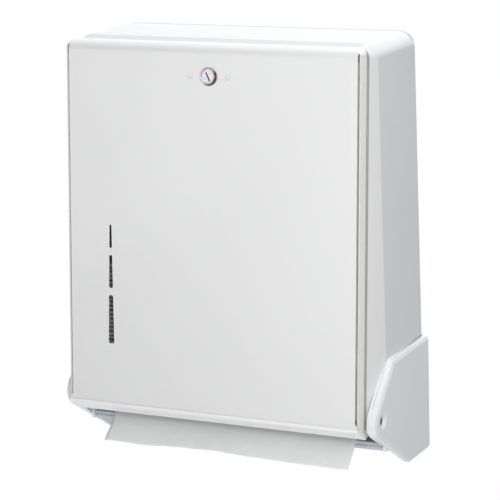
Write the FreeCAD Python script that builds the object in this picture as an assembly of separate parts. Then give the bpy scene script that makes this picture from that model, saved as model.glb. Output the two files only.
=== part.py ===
import FreeCAD, Part
import math
import os

# Wall-hung, key-locked cabinet for folded paper towels, with a front door that drops open.
# Millimetres. +Z is up, -Y is the front, and the wall is the plane y = 0.
# Heights below are measured from the lowest edge of the cheeks. Every shape is lowered
# by MOUNT_Z when it is written, so the row's origin is the centre of the wall-screw pattern.

V = FreeCAD.Vector

# ---- driving dimensions -------------------------------------------------------------
WIDTH = 298.4            # over the two cheeks
CABINET_TOP = 368.3      # top face of the moulded cabinet
MOUNT_Z = 200.0          # centre of the wall-screw pattern
MOUNT_X_SPACING = 152.4
MOUNT_Z_SPACING = 203.2
MOUNT_HOLE_R = 2.75

WALL = 2.6               # moulded wall
STEEL = 0.9              # door skin
SIDE_HALF_TOP = 140.3    # half-width of the cabinet at its top
SIDE_HALF_FOOT = 143.9   # half-width it would have at height 0
CREASE_Y = -80.8         # where the straight sides end and the tapered front begins
CORNER_R = 13.0
RIM_HALF = 137.6         # half-width of the tapered front at its rim
RIM_TOP = 366.0
RIM_R = 8.0
CABINET_FOOT = 21.0      # lower edge of the cabinet walls
THROAT_Y = -86.0         # the side walls' lower part ends here, behind the door's swing

TILT = 0.07              # forward lean of the door face, mm of depth per mm of height
FACE_TOP_Y = -109.5      # face plane at FACE_TOP_Z
FACE_TOP_Z = 363.0
RIM_SETBACK = 14.9       # face plane to cabinet rim
DOOR_GAP = 1.2           # door rails to cabinet rim

FACE_HALF = 134.7        # flat steel face
ROLL_TOP = 367.0         # top of the face's rolled edge
ROLL_R = 9.5
ROLL_REAR_Y = -95.7
FACE_FOOT_Z = 50.8       # the face's lower edge, held in the chin's groove
FLARE_TOP_Z = 54.8       # the face widens below this height to the width of the chin
FLARE_R = 4.5
RETURN_DEPTH = 3.7       # side returns of the steel face
RAIL_HALF = 137.4
RAIL_LIP = 1.2           # thin front lip of a rail, beside the shadow groove
RAIL_THICK = 3.2
RAIL_BACKSET = 1.0       # rail's front edge behind the face plane
FLANGE_TOP = 361.0       # the rails' fixing flange, seen in the groove beside the face
RAIL_CAP_Z = 363.0       # the groove ends here and the rail closes the roll's end
RAIL_CORNER_R = 6.5
FLARE_HALF = 137.0
CHIN_HALF = 137.8
CHIN_LIP_Y = -132.1      # front of the chin's lip, which stands proud of the face
CHIN_TOP_Z = 53.2
CHIN_REAR = (-115.0, 39.8)

PIVOT_Y = -104.4
PIVOT_Z = 54.3
PIN_R = 3.0
LUG_R = 9.0
LUG_FOOT_R = 15.5        # round skirt that keeps the throat closed as the door swings
LUG_X = (130.6, 134.6)
TONGUE_R = 11.8

CHEEK_IN = 140.3         # inner face of the hinge brackets
COVER_IN = 142.8         # inner face of the cheek covers
COVER_GAP = 0.35         # shadow line between bracket and cover on the steep edge
CHEEK_TIP_Y = -45.0
CHEEK_NOSE = (-128.6, 51.6)
CHEEK_BEND = (-78.5, 100.5)
CHEEK_TOP_Z = 102.6
CHEEK_NOSE_R = 15.0
CHEEK_BEVEL = 3.4        # the rim's slope, measured on the outer face
CHEEK_BEVEL_DEPTH = 1.6

LOCK_Z = 340.3
COLLAR_R = 7.7
BARREL_R = 7.0
PLUG_HEAD_R = 5.8
PLUG_R = 4.9
CAM_REACH = 17.2
CAM_DEPTH = 12.6         # face plane to the front of the cam
KEYWAY_LEAN = 24.0       # degrees from upright at rest
KEYWAY_HALF = 0.5
KEYWAY_REACH = 4.2
WELD_X = 17.5
WELD_R = 7.5             # the welding tip's ball, pressed this deep into the face
WELD_DEPTH = 0.5
PLATE_THICK = 1.5        # stiffening plate behind the lock

SLOT_X = -95.6
SLOT_TOP = 209.6
SLOT_SPANS = [(209.6, 189.4), (183.0, 154.4), (148.0, 105.5)]
SLOT_WIDTH_TOP = 1.9
SLOT_GROWTH = 0.035      # extra width per mm below SLOT_TOP

TRAY_HALF = 139.5
TRAY_TOP = 28.0
TRAY_SHEET = 1.5
TRAY_FRONT_Y = -84.0
TRAY_REAR_Z = 46.0       # top of the tray's rear flange
FLANGE_THICK = 2.6       # tray's front flange
BEAD_TOP = 25.3          # groove along the front flange
BEAD_FOOT = 24.2
BEAD_DEPTH = 1.4
RIVET_XS = [-110.0, -40.0, 40.0, 110.0]
RIVET_Z = 39.0

TOWEL_HALF = 117.5       # folded towel, 235 mm long
STACK_REAR_Y = -6.0
STACK_FRONT_Y = -85.0
STACK_TOP = 171.2
REFILL_Z = 62.0          # the second refill lies on the first, further forward
REFILL_SHIFT = 19.0
LEAF_THICK = 0.8

STUD_X = 127.5
STUD_ZS = [90.0, 200.0, 310.0]
NUT_SEAT = 5.85          # face plane to the nuts on the studs
CHEEK_SCREWS = [(-22.0, 80.0), (-60.0, 40.0)]
STRIKE_HALF = 22.0
STRIKE_Z = 358.2         # underside of the strike's fixed leg
STRIKE_FRONT_Y = -101.5
STRIKE_FOOT = 350.5
STRIKE_SCREW_X = 14.0

# ---- worked-out values --------------------------------------------------------------
CHEEK_OUT = WIDTH / 2
TILT_DEG = math.degrees(math.atan(TILT))
PIN_BORE_R = PIN_R + 0.05


def face_y(z):
    """Depth of the door's face plane at height z."""
    return FACE_TOP_Y - (FACE_TOP_Z - z) * TILT


def rim_y(z):
    """Depth of the cabinet's front rim at height z."""
    return face_y(z) + RIM_SETBACK


def side_half(z):
    """Half-width of the cabinet's outer side at height z."""
    return SIDE_HALF_TOP + (SIDE_HALF_FOOT - SIDE_HALF_TOP) * (CABINET_TOP - z) / CABINET_TOP


# ---- shape helpers ------------------------------------------------------------------
def box(x0, x1, y0, y1, z0, z1):
    return Part.makeBox(x1 - x0, y1 - y0, z1 - z0, V(x0, y0, z0))


def rod_x(y, z, r, x0, x1):
    return Part.makeCylinder(r, x1 - x0, V(x0, y, z), V(1, 0, 0))


def rod_y(x, z, r, y0, y1):
    return Part.makeCylinder(r, y1 - y0, V(x, y0, z), V(0, 1, 0))


def rod_z(x, y, r, z0, z1):
    return Part.makeCylinder(r, z1 - z0, V(x, y, z0), V(0, 0, 1))


def outline(corners, place):
    """Closed wire through corners (a, b, radius), each corner rounded by its radius."""
    ends = []
    count = len(corners)
    for i, (a, b, r) in enumerate(corners):
        here = place(a, b)
        if r == 0:
            ends.append((here, None, here))
            continue
        back = place(*corners[i - 1][:2]) - here
        ahead = place(*corners[(i + 1) % count][:2]) - here
        half = back.getAngle(ahead) / 2
        back.normalize()
        ahead.normalize()
        reach = r / math.tan(half)
        inward = (back + ahead).normalize()
        middle = here + inward * (r / math.sin(half) - r)
        ends.append((here + back * reach, middle, here + ahead * reach))
    edges = []
    for i, (start, middle, end) in enumerate(ends):
        if middle is not None:
            edges.append(Part.Arc(start, middle, end).toShape())
        following = ends[(i + 1) % count][0]
        edges.append(Part.LineSegment(end, following).toShape())
    return Part.Wire(edges)


def slab_x(corners, x0, x1):
    """Outline given in (y, z, radius), extruded from x0 to x1."""
    wire = outline(corners, lambda y, z: V(x0, y, z))
    return Part.Face(wire).extrude(V(x1 - x0, 0, 0))


def slab_y(corners, y0, y1):
    """Outline given in (x, z, radius), extruded from y0 to y1."""
    wire = outline(corners, lambda x, z: V(x, y0, z))
    return Part.Face(wire).extrude(V(0, y1 - y0, 0))


def slab_z(corners, z0, z1):
    """Outline given in (x, y, radius), extruded from z0 to z1."""
    wire = outline(corners, lambda x, y: V(x, y, z0))
    return Part.Face(wire).extrude(V(0, 0, z1 - z0))


def mirrored(shape):
    return shape.mirror(V(0, 0, 0), V(1, 0, 0))


def both_sides(shape):
    return [shape, mirrored(shape)]


def on_face(shape, x, z):
    """Place a shape built about +Y (inwards, 0 at the face plane) on the leaning door face."""
    placed = shape.copy()
    placed.rotate(V(0, 0, 0), V(1, 0, 0), -TILT_DEG)
    placed.translate(V(x, face_y(z), z))
    return placed


def write(name, *solids):
    """Lower the solids to the row's frame and write them as one node."""
    shape = Part.makeCompound([s.Solids[0] for s in solids]) if len(solids) > 1 else solids[0].Solids[0]
    shape.translate(V(0, 0, -MOUNT_Z))
    shape.exportStep("parts/" + name + ".step")


# ---- cabinet ------------------------------------------------------------------------
def section(inset, y_of, half_of, top, r, foot):
    """Arch-shaped section of the cabinet, with its depth given by y_of(z)."""
    corners = [(-half_of(foot) + inset, foot, 0), (-half_of(top) + inset, top - inset, r - inset),
               (half_of(top) - inset, top - inset, r - inset), (half_of(foot) - inset, foot, 0)]
    return outline(corners, lambda x, z: V(x, y_of(z), z))


def cabinet_block(inset, back, foot, reach):
    """Solid bounded by the cabinet's sides: straight to the crease, then tapered to the rim."""
    rear = section(inset, lambda z: back, side_half, CABINET_TOP, CORNER_R, foot)
    crease = section(inset, lambda z: CREASE_Y, side_half, CABINET_TOP, CORNER_R, foot)
    rim = section(inset, lambda z: rim_y(z) - reach, lambda z: RIM_HALF, RIM_TOP, RIM_R, foot)
    straight = Part.makeLoft([rear, crease], True, True)
    tapered = Part.makeLoft([crease, rim], True, True)
    return straight.fuse(tapered).removeSplitter()


def throat_clearance():
    """Room below the hinge line for the door's chin to swing through."""
    swing = box(-WIDTH, WIDTH, -150, THROAT_Y, 0, PIVOT_Z)
    tongue = rod_x(PIVOT_Y, PIVOT_Z, TONGUE_R, -WIDTH, WIDTH)
    gusset = slab_x([(PIVOT_Y, PIVOT_Z, 0), (-94.2, 48.4, 0), (THROAT_Y, 50.0, 0), (THROAT_Y, PIVOT_Z, 0)],
                    -WIDTH, WIDTH)
    return swing.cut(tongue).cut(gusset)


def cabinet_body():
    shell = cabinet_block(0, 0, CABINET_FOOT, 0)
    shell = shell.cut(cabinet_block(WALL, -WALL, CABINET_FOOT - 5, 0.5))
    boss = box(-26, 26, -92, -74, STRIKE_Z + TRAY_SHEET, CABINET_TOP - WALL / 2)
    shell = shell.fuse(boss.common(cabinet_block(WALL / 2, 0, CABINET_FOOT, 0)))
    shell = shell.cut(throat_clearance())
    for x in (-MOUNT_X_SPACING / 2, MOUNT_X_SPACING / 2):
        for z in (MOUNT_Z - MOUNT_Z_SPACING / 2, MOUNT_Z + MOUNT_Z_SPACING / 2):
            shell = shell.cut(rod_y(x, z, MOUNT_HOLE_R, -10, 1))
    for x in RIVET_XS:
        shell = shell.cut(rod_y(x, RIVET_Z, 2.0, -10, 1))
    for x in (-STRIKE_SCREW_X, STRIKE_SCREW_X):
        shell = shell.cut(rod_z(x, -83, 1.5, STRIKE_Z, STRIKE_Z + 6.5))
    for y, z in CHEEK_SCREWS:
        shell = shell.cut(rod_x(y, z, 2.0, -WIDTH, WIDTH))
    return shell.cut(rod_x(PIVOT_Y, PIVOT_Z, PIN_BORE_R, -WIDTH, WIDTH)).removeSplitter()


def towel_tray():
    """Shelf with a rear flange against the back and a beaded front flange."""
    rear = -WALL
    front, bead, inner = TRAY_FRONT_Y, TRAY_FRONT_Y + BEAD_DEPTH, TRAY_FRONT_Y + FLANGE_THICK
    shelf = slab_x([(rear, TRAY_TOP, 0), (rear, TRAY_REAR_Z, 0), (rear - TRAY_SHEET, TRAY_REAR_Z, 0),
                    (rear - TRAY_SHEET, TRAY_TOP, 1), (front, TRAY_TOP, 0.9), (front, BEAD_TOP, 0),
                    (bead, BEAD_TOP, 0), (bead, BEAD_FOOT, 0), (front, BEAD_FOOT, 0),
                    (front, CABINET_FOOT, 0.6), (inner, CABINET_FOOT, 0),
                    (inner, TRAY_TOP - TRAY_SHEET, 0), (rear, TRAY_TOP - TRAY_SHEET, 0)],
                   -TRAY_HALF, TRAY_HALF)
    for x in RIVET_XS:
        shelf = shelf.cut(rod_y(x, RIVET_Z, 2.0, -10, 1))
    return shelf


def tray_rivet(x):
    shank = rod_y(x, RIVET_Z, 2.0, -WALL - TRAY_SHEET - 0.2, -0.3)
    head = rod_y(x, RIVET_Z, 3.6, -WALL - TRAY_SHEET - 1.2, -WALL - TRAY_SHEET)
    return head.fuse(shank).removeSplitter()


# ---- cheeks and hinge ---------------------------------------------------------------
def cheek_outline():
    """Side outline that the cover and its bracket share."""
    return [(0, 0, 0), (CHEEK_TIP_Y, 0, 0), (*CHEEK_NOSE, CHEEK_NOSE_R), (*CHEEK_BEND, 0),
            (0, CHEEK_TOP_Z, 0)]


def cheek_cover():
    """Right-hand cover: a bevelled slab that hides the hinge bracket."""
    slab = slab_x(cheek_outline(), COVER_IN, CHEEK_OUT)
    rim_edges = [e for e in slab.Edges
                 if min(v.X for v in e.Vertexes) > CHEEK_OUT - 0.01 and min(v.Y for v in e.Vertexes) < -1]
    slab = slab.makeChamfer(CHEEK_BEVEL_DEPTH, CHEEK_BEVEL, rim_edges)
    slab = slab.cut(cabinet_block(0, 5, CABINET_FOOT, 0))
    groove = slab_x([(-150, 66, 0), (-112, 66, 0), (-80.5, 97, 0), (-80.5, 120, 0), (-150, 120, 0)],
                    COVER_IN, COVER_IN + COVER_GAP)
    slab = slab.cut(groove)
    slab = slab.cut(rod_x(PIVOT_Y, PIVOT_Z, 5.0, COVER_IN - 1, COVER_IN + 1.3))
    slab = slab.cut(rod_x(PIVOT_Y, PIVOT_Z, 4.0, COVER_IN, CHEEK_OUT + 1))
    sink = Part.makeCone(4.0, 6.6, 2.2, V(CHEEK_OUT - 2.2, PIVOT_Y, PIVOT_Z), V(1, 0, 0))
    slab = slab.cut(sink)
    for y, z in CHEEK_SCREWS:
        slab = slab.cut(rod_x(y, z, 1.5, COVER_IN, CHEEK_OUT - 1.0))
    return slab


def hinge_bracket():
    """Right-hand bracket plate that carries the door's hinge pin inside the cover."""
    plate = slab_x(cheek_outline(), CHEEK_IN, COVER_IN)
    keep = slab_x([(-150, 0, 0), (-62, 0, 0), (-62, 30, 0), (-70, 110, 0), (-150, 110, 0)], 0, WIDTH)
    plate = plate.common(keep).cut(cabinet_block(0, 5, CABINET_FOOT, 0))
    plate = plate.cut(rod_x(PIVOT_Y, PIVOT_Z, PIN_BORE_R, 0, WIDTH))
    return max(plate.Solids, key=lambda s: s.Volume)


def hinge_pin():
    shank = rod_x(PIVOT_Y, PIVOT_Z, PIN_R, LUG_X[0] - 1.8, COVER_IN)
    head = rod_x(PIVOT_Y, PIVOT_Z, 4.8, COVER_IN, COVER_IN + 1.2)
    stub = rod_x(PIVOT_Y, PIVOT_Z, 3.8, COVER_IN + 1.2, CHEEK_OUT - 2.4)
    clip_groove = rod_x(PIVOT_Y, PIVOT_Z, PIN_R + 1, LUG_X[0] - 1.0, LUG_X[0] - 0.2)
    clip_groove = clip_groove.cut(rod_x(PIVOT_Y, PIVOT_Z, 2.4, 0, WIDTH))
    return head.fuse([shank, stub]).cut(clip_groove).removeSplitter()


def hinge_clip():
    """Spring clip that snaps into the pin's groove."""
    ring = rod_x(PIVOT_Y, PIVOT_Z, 5.4, LUG_X[0] - 0.95, LUG_X[0] - 0.25)
    ring = ring.cut(rod_x(PIVOT_Y, PIVOT_Z, 2.42, 0, WIDTH))
    mouth = box(0, WIDTH, PIVOT_Y - 1.9, PIVOT_Y + 1.9, PIVOT_Z, PIVOT_Z + 9)
    return ring.cut(mouth)


def hinge_bush():
    sleeve = rod_x(PIVOT_Y, PIVOT_Z, 4.5, LUG_X[0], LUG_X[1])
    flange = rod_x(PIVOT_Y, PIVOT_Z, 6.0, LUG_X[1], LUG_X[1] + 0.8)
    return sleeve.fuse(flange).removeSplitter().cut(rod_x(PIVOT_Y, PIVOT_Z, PIN_BORE_R, 0, WIDTH))


def cheek_screw(y, z):
    """Screw from inside the cabinet, through its side and into the cover."""
    inner = side_half(z) - WALL
    shank = rod_x(y, z, 1.5, inner - 0.5, CHEEK_OUT - 1.6)
    head = rod_x(y, z, 3.4, inner - 2.0, inner - 0.15)
    return head.fuse(shank).removeSplitter()


# ---- strike -------------------------------------------------------------------------
def lock_strike():
    """Steel angle under the cabinet's top, which the lock's cam hooks behind."""
    top = STRIKE_Z + TRAY_SHEET
    angle = slab_x([(-74, STRIKE_Z, 0), (-74, top, 0), (STRIKE_FRONT_Y, top, 2.2),
                    (STRIKE_FRONT_Y, STRIKE_FOOT, 0), (STRIKE_FRONT_Y + TRAY_SHEET, STRIKE_FOOT, 0),
                    (STRIKE_FRONT_Y + TRAY_SHEET, STRIKE_Z, 0.7)], -STRIKE_HALF, STRIKE_HALF)
    for x in (-STRIKE_SCREW_X, STRIKE_SCREW_X):
        angle = angle.cut(rod_z(x, -83, 1.7, STRIKE_Z - 1, top + 1))
    return angle


def strike_screw(x):
    shank = rod_z(x, -83, 1.5, STRIKE_Z - 0.5, STRIKE_Z + 6.0)
    head = rod_z(x, -83, 3.2, STRIKE_Z - 2.0, STRIKE_Z)
    return head.fuse(shank).removeSplitter()


# ---- door ---------------------------------------------------------------------------
def skin_outline(inset):
    """Outline of the rolled top and leaning face, or of the surface this far inside them."""
    top = ROLL_TOP - inset
    return [(ROLL_REAR_Y, top, 0), (face_y(top) + inset, top, ROLL_R - inset),
            (face_y(FACE_FOOT_Z) + inset, FACE_FOOT_Z, 0)]


def front_panel():
    """Steel skin: rolled top and leaning face, flared where it meets the chin."""
    skin = slab_x(skin_outline(0) + skin_outline(STEEL)[::-1], -FLARE_HALF, FLARE_HALF)
    beside = slab_y([(FACE_HALF, 400, 0), (FACE_HALF, FLARE_TOP_Z, FLARE_R), (WIDTH, FLARE_TOP_Z, 0),
                     (WIDTH, 400, 0)], -150, 0)
    for side in both_sides(beside):
        skin = skin.cut(side)
    edge = slab_x([(face_y(60), 60, 0), (face_y(356), 356, 0), (face_y(356) + RETURN_DEPTH, 356, 0),
                   (face_y(60) + RETURN_DEPTH, 60, 0)], FACE_HALF - STEEL, FACE_HALF)
    for side in both_sides(edge):
        skin = skin.fuse(side)
    skin = skin.removeSplitter().common(rounded_door())
    skin = skin.cut(on_face(rod_y(0, 0, BARREL_R + 0.05, -2, 4), 0, LOCK_Z))
    for x in (-WELD_X, WELD_X):
        skin = skin.cut(on_face(Part.makeSphere(WELD_R, V(0, WELD_DEPTH - WELD_R, 0)), x, LOCK_Z - 0.6))
    for top, foot in SLOT_SPANS:
        skin = skin.cut(level_slot(top, foot))
    for x in (-STUD_X, STUD_X):
        for z in STUD_ZS:
            skin = skin.fuse(on_face(rod_y(0, 0, 1.5, STEEL / 2, 9.0), x, z))
    return skin


def rounded_door():
    """Space inside the door's two rounded top corners."""
    return slab_y([(-RAIL_HALF, 30, 0), (-RAIL_HALF, ROLL_TOP, RAIL_CORNER_R),
                   (RAIL_HALF, ROLL_TOP, RAIL_CORNER_R), (RAIL_HALF, 30, 0)], -150, -80)


def level_slot(top, foot):
    """Cutter for one stretch of the tapering window that shows how many towels are left."""
    def half(z):
        return (SLOT_WIDTH_TOP + (SLOT_TOP - z) * SLOT_GROWTH) / 2
    r = half(top) * 0.8
    corners = [(SLOT_X - half(top), top, r), (SLOT_X + half(top), top, r),
               (SLOT_X + half(foot), foot, r), (SLOT_X - half(foot), foot, r)]
    return slab_y(corners, -150, -100)


def door_rail():
    """Right-hand moulded rail: outer wall, cap in the roll's end, fixing flange and hinge lug."""
    rear = rim_y(47) - DOOR_GAP
    wall = slab_x([(face_y(54) + RAIL_BACKSET, 53.4, 0.5), (face_y(400) + RAIL_BACKSET, 400, 0),
                   (rim_y(400) - DOOR_GAP, 400, 0), (rear, 47.1, 0.8), (-127.2, 53.4, 0)],
                  RAIL_HALF - RAIL_THICK, RAIL_HALF)
    groove = slab_x([(-150, 0, 0), (face_y(0) + 4, 0, 0), (face_y(RAIL_CAP_Z) + 4, RAIL_CAP_Z, 0),
                     (-150, RAIL_CAP_Z, 0)], 0, RAIL_HALF - RAIL_LIP)
    wall = wall.cut(groove)
    cap = box(127, RAIL_HALF, -150, -ROLL_R - 70, RAIL_CAP_Z, ROLL_TOP)
    cap = cap.cut(slab_x([(rim_y(300) - DOOR_GAP, 300, 0), (rim_y(400) - DOOR_GAP, 400, 0), (0, 400, 0),
                          (0, 300, 0)], 0, WIDTH))
    profile = door_profile(0, FACE_HALF + 0.05, WIDTH).fuse(door_profile(STEEL + 0.05, 0, FACE_HALF + 0.05))
    outer = wall.fuse(cap).common(profile).common(rounded_door())
    flange = slab_x([(face_y(60) + 4, 60, 0), (face_y(FLANGE_TOP) + 4, FLANGE_TOP, 0),
                     (face_y(FLANGE_TOP) + 5.8, FLANGE_TOP, 0), (face_y(60) + 5.8, 60, 0)], 121, RAIL_HALF - 1)
    pad = slab_x([(face_y(60) + 1, 60, 0), (face_y(350) + 1, 350, 0),
                  (face_y(350) + 5.8, 350, 0), (face_y(60) + 5.8, 60, 0)], 121, 133.2)
    lug = slab_x([(-125.4, 55, 0), (-125.4, 76, 0), (-119.5, 76, 0), (PIVOT_Y, PIVOT_Z + LUG_R, 0),
                  (PIVOT_Y, PIVOT_Z - LUG_R, 0), (-119.5, 53.5, 0)], LUG_X[0], LUG_X[1])
    skirt = rod_x(PIVOT_Y, PIVOT_Z, LUG_FOOT_R, LUG_X[0], LUG_X[1])
    skirt = skirt.common(box(0, WIDTH, -150, -95, 0, PIVOT_Z))
    lug = lug.fuse([rod_x(PIVOT_Y, PIVOT_Z, LUG_R, LUG_X[0], LUG_X[1]), skirt])
    rail = outer.fuse([flange, pad, lug]).removeSplitter()
    rail = rail.cut(rod_x(PIVOT_Y, PIVOT_Z, 4.5, 0, WIDTH))
    for z in STUD_ZS:
        rail = rail.cut(on_face(rod_y(0, 0, 1.7, 0, 12), STUD_X, z))
    return rail


def door_profile(inset, x0, x1):
    """Space behind the door's outline, back to well inside the cabinet."""
    top = ROLL_TOP - inset
    return slab_x([(ROLL_REAR_Y, top, 0), (face_y(top) + inset, top, ROLL_R - inset),
                   (face_y(30) + inset, 30, 0), (-95, 30, 0)], x0, x1)


def door_chin():
    """Moulded sill that grips the skin's lower edge and slopes back under the door."""
    rear_y, rear_z = CHIN_REAR
    sill = slab_x([(CHIN_LIP_Y, CHIN_TOP_Z, 0.7), (CHIN_LIP_Y, 50.4, 1.6), (rear_y, rear_z, 0.7),
                   (rear_y + 1.1, rear_z + 1.8, 0.7), (-124.5, 48.6, 2), (-127.6, CHIN_TOP_Z, 0)],
                  -CHIN_HALF, CHIN_HALF)
    rear = rim_y(47) - DOOR_GAP
    end_wall = slab_x([(-131.4, CHIN_TOP_Z, 0), (-131.4, 50.2, 0), (rear, 41.6, 0), (rear, 46.8, 0),
                       (-127.4, CHIN_TOP_Z, 0)], CHIN_HALF - 2.9, CHIN_HALF)
    for side in both_sides(end_wall):
        sill = sill.fuse(side)
    slot = slab_x([(face_y(50.7) - 0.05, 50.7, 0), (face_y(55) - 0.05, 55, 0),
                   (face_y(55) + STEEL + 0.05, 55, 0), (face_y(50.7) + STEEL + 0.05, 50.7, 0)],
                  -FLARE_HALF - 0.05, FLARE_HALF + 0.05)
    return sill.removeSplitter().cut(slot)


def hex_nut(reach, height, seat, bore):
    """Hexagon nut along +Y, with its corners at reach and its near face at depth seat."""
    angles = [math.radians(60 * i) for i in range(7)]
    ring = Part.makePolygon([V(reach * math.cos(a), seat, reach * math.sin(a)) for a in angles])
    return Part.Face(ring).extrude(V(0, height, 0)).cut(rod_y(0, 0, bore, 0, 12))


def stud_nut(x, z):
    return on_face(hex_nut(3.2, 2.4, NUT_SEAT, 1.5), x, z)


# ---- lock ---------------------------------------------------------------------------
def lock_bracket():
    """Stiffening plate spot-welded behind the face."""
    plate = slab_y([(-26, -13, 3), (26, -13, 3), (26, 13, 3), (-26, 13, 3)], STEEL, STEEL + PLATE_THICK)
    return on_face(plate.cut(rod_y(0, 0, BARREL_R + 0.05, 0, 5)), 0, LOCK_Z)


def lock_barrel():
    """Collar and threaded body that hold the plug."""
    collar = Part.makeCone(COLLAR_R - 1.0, COLLAR_R, 1.3, V(0, -2.3, 0), V(0, 1, 0))
    collar = collar.fuse(rod_y(0, 0, COLLAR_R, -1.0, 0))
    body = collar.fuse(rod_y(0, 0, BARREL_R, -0.5, CAM_DEPTH - 0.4)).removeSplitter()
    body = body.cut(rod_y(0, 0, PLUG_HEAD_R + 0.05, -3, -0.4)).cut(rod_y(0, 0, PLUG_R + 0.05, -1, 20))
    return on_face(body, 0, LOCK_Z)


def lock_nut():
    return on_face(hex_nut(10.2, 3.2, STEEL + PLATE_THICK, BARREL_R), 0, LOCK_Z)


def lock_plug():
    """Turning core with its keyway, held in the barrel by its head."""
    core = rod_y(0, 0, PLUG_HEAD_R, -2.0, -0.4).fuse(rod_y(0, 0, PLUG_R, -0.5, CAM_DEPTH)).removeSplitter()
    square = box(-3, 3, CAM_DEPTH - 0.5, CAM_DEPTH + 1.9, -3, 3)
    core = core.fuse(square).removeSplitter()
    keyway = box(-KEYWAY_HALF, KEYWAY_HALF, -3, 8, -KEYWAY_REACH, KEYWAY_REACH)
    keyway.rotate(V(0, 0, 0), V(0, 1, 0), -KEYWAY_LEAN)
    core = core.cut(keyway).cut(rod_y(0, 0, 1.5, CAM_DEPTH - 3.5, CAM_DEPTH + 3))
    return on_face(core, 0, LOCK_Z)


def lock_cam():
    """Flat cam on the plug's square, pointing to +X when unlocked and up when locked."""
    blade = slab_y([(-5.5, -5.5, 3), (CAM_REACH - 2, -4.5, 2), (CAM_REACH, 0, 1.5), (CAM_REACH - 2, 4.5, 2),
                    (-5.5, 5.5, 3)], CAM_DEPTH, CAM_DEPTH + 2.0)
    return on_face(blade.cut(box(-3, 3, CAM_DEPTH - 1, CAM_DEPTH + 4, -3, 3)), 0, LOCK_Z)


def cam_screw():
    head = rod_y(0, 0, 4.6, CAM_DEPTH + 2.0, CAM_DEPTH + 3.8)
    return on_face(head.fuse(rod_y(0, 0, 1.5, CAM_DEPTH - 3.0, CAM_DEPTH + 2.5)).removeSplitter(), 0, LOCK_Z)


# ---- towels -------------------------------------------------------------------------
def towel_stack():
    """Two refills of folded towels, the upper one further forward."""
    rear, front = STACK_REAR_Y - REFILL_SHIFT, STACK_FRONT_Y - REFILL_SHIFT
    base = TRAY_TOP + 0.3
    return slab_x([(STACK_REAR_Y, base, 2), (STACK_REAR_Y, REFILL_Z, 2), (rear, REFILL_Z, 0),
                   (rear, STACK_TOP, 2), (front, STACK_TOP, 2), (front, REFILL_Z, 2),
                   (STACK_FRONT_Y, REFILL_Z, 0), (STACK_FRONT_Y, base, 2)], -TOWEL_HALF, TOWEL_HALF)


def hanging_towel():
    """Free end of the lowest towel, bent forwards over the tray's edge."""
    front = [(-86.2, 33.5, 0), (-89.6, 30.0, 8), (-95.5, 21.0, 30), (-109.5, 9.6, 0)]
    back = [(y + 0.7 * LEAF_THICK, z - 0.71 * LEAF_THICK, r) for y, z, r in front]
    return slab_x(front + back[::-1], -TOWEL_HALF, TOWEL_HALF)


def main():
    os.makedirs("parts", exist_ok=True)
    write("cabinet_body", cabinet_body())
    write("towel_tray", towel_tray())
    write("tray_rivets", *[tray_rivet(x) for x in RIVET_XS])
    write("right_cheek_cover", cheek_cover())
    write("left_cheek_cover", mirrored(cheek_cover()))
    write("right_hinge_bracket", hinge_bracket())
    write("left_hinge_bracket", mirrored(hinge_bracket()))
    write("right_hinge_pin", hinge_pin())
    write("left_hinge_pin", mirrored(hinge_pin()))
    write("hinge_clips", *both_sides(hinge_clip()))
    screws = [s for y, z in CHEEK_SCREWS for s in both_sides(cheek_screw(y, z))]
    write("cheek_screws", *screws)
    write("lock_strike", lock_strike())
    write("strike_screws", *both_sides(strike_screw(STRIKE_SCREW_X)))
    write("towel_stack", towel_stack())
    write("hanging_towel", hanging_towel())
    write("front_panel", front_panel())
    write("right_door_rail", door_rail())
    write("left_door_rail", mirrored(door_rail()))
    write("rail_nuts", *[stud_nut(x, z) for x in (-STUD_X, STUD_X) for z in STUD_ZS])
    write("door_chin", door_chin())
    write("hinge_bushes", *both_sides(hinge_bush()))
    write("lock_bracket", lock_bracket())
    write("lock_barrel", lock_barrel())
    write("lock_nut", lock_nut())
    write("lock_plug", lock_plug())
    write("lock_cam", lock_cam())
    write("cam_screw", cam_screw())


main()
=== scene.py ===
"""Looks of a wall-hung, key-locked cabinet for folded paper towels.

Lengths are metres in the part's own frame: +Z is up, -Y is the front, and the wall is the
plane y = 0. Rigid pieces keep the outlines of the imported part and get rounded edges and
finishes. The towels and the fasteners are built here, inside the space of the solids that
they stand for.
"""

import logging
import math
from dataclasses import dataclass
from enum import Enum
from functools import lru_cache
from typing import Callable

import bmesh
import bpy
from mathutils import Matrix, Vector


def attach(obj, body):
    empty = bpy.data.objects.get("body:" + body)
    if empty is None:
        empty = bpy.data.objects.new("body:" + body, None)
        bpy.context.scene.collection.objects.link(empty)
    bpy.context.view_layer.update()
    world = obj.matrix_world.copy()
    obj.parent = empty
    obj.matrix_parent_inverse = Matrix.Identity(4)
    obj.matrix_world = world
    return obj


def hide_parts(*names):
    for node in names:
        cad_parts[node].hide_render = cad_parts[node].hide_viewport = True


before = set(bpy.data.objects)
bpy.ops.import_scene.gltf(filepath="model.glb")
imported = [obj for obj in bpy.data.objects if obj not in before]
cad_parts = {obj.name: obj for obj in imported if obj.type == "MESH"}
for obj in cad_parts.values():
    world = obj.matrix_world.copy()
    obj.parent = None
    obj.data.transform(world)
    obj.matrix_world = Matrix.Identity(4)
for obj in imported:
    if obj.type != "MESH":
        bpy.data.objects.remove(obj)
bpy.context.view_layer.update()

log = logging.getLogger("towel_cabinet")

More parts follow.
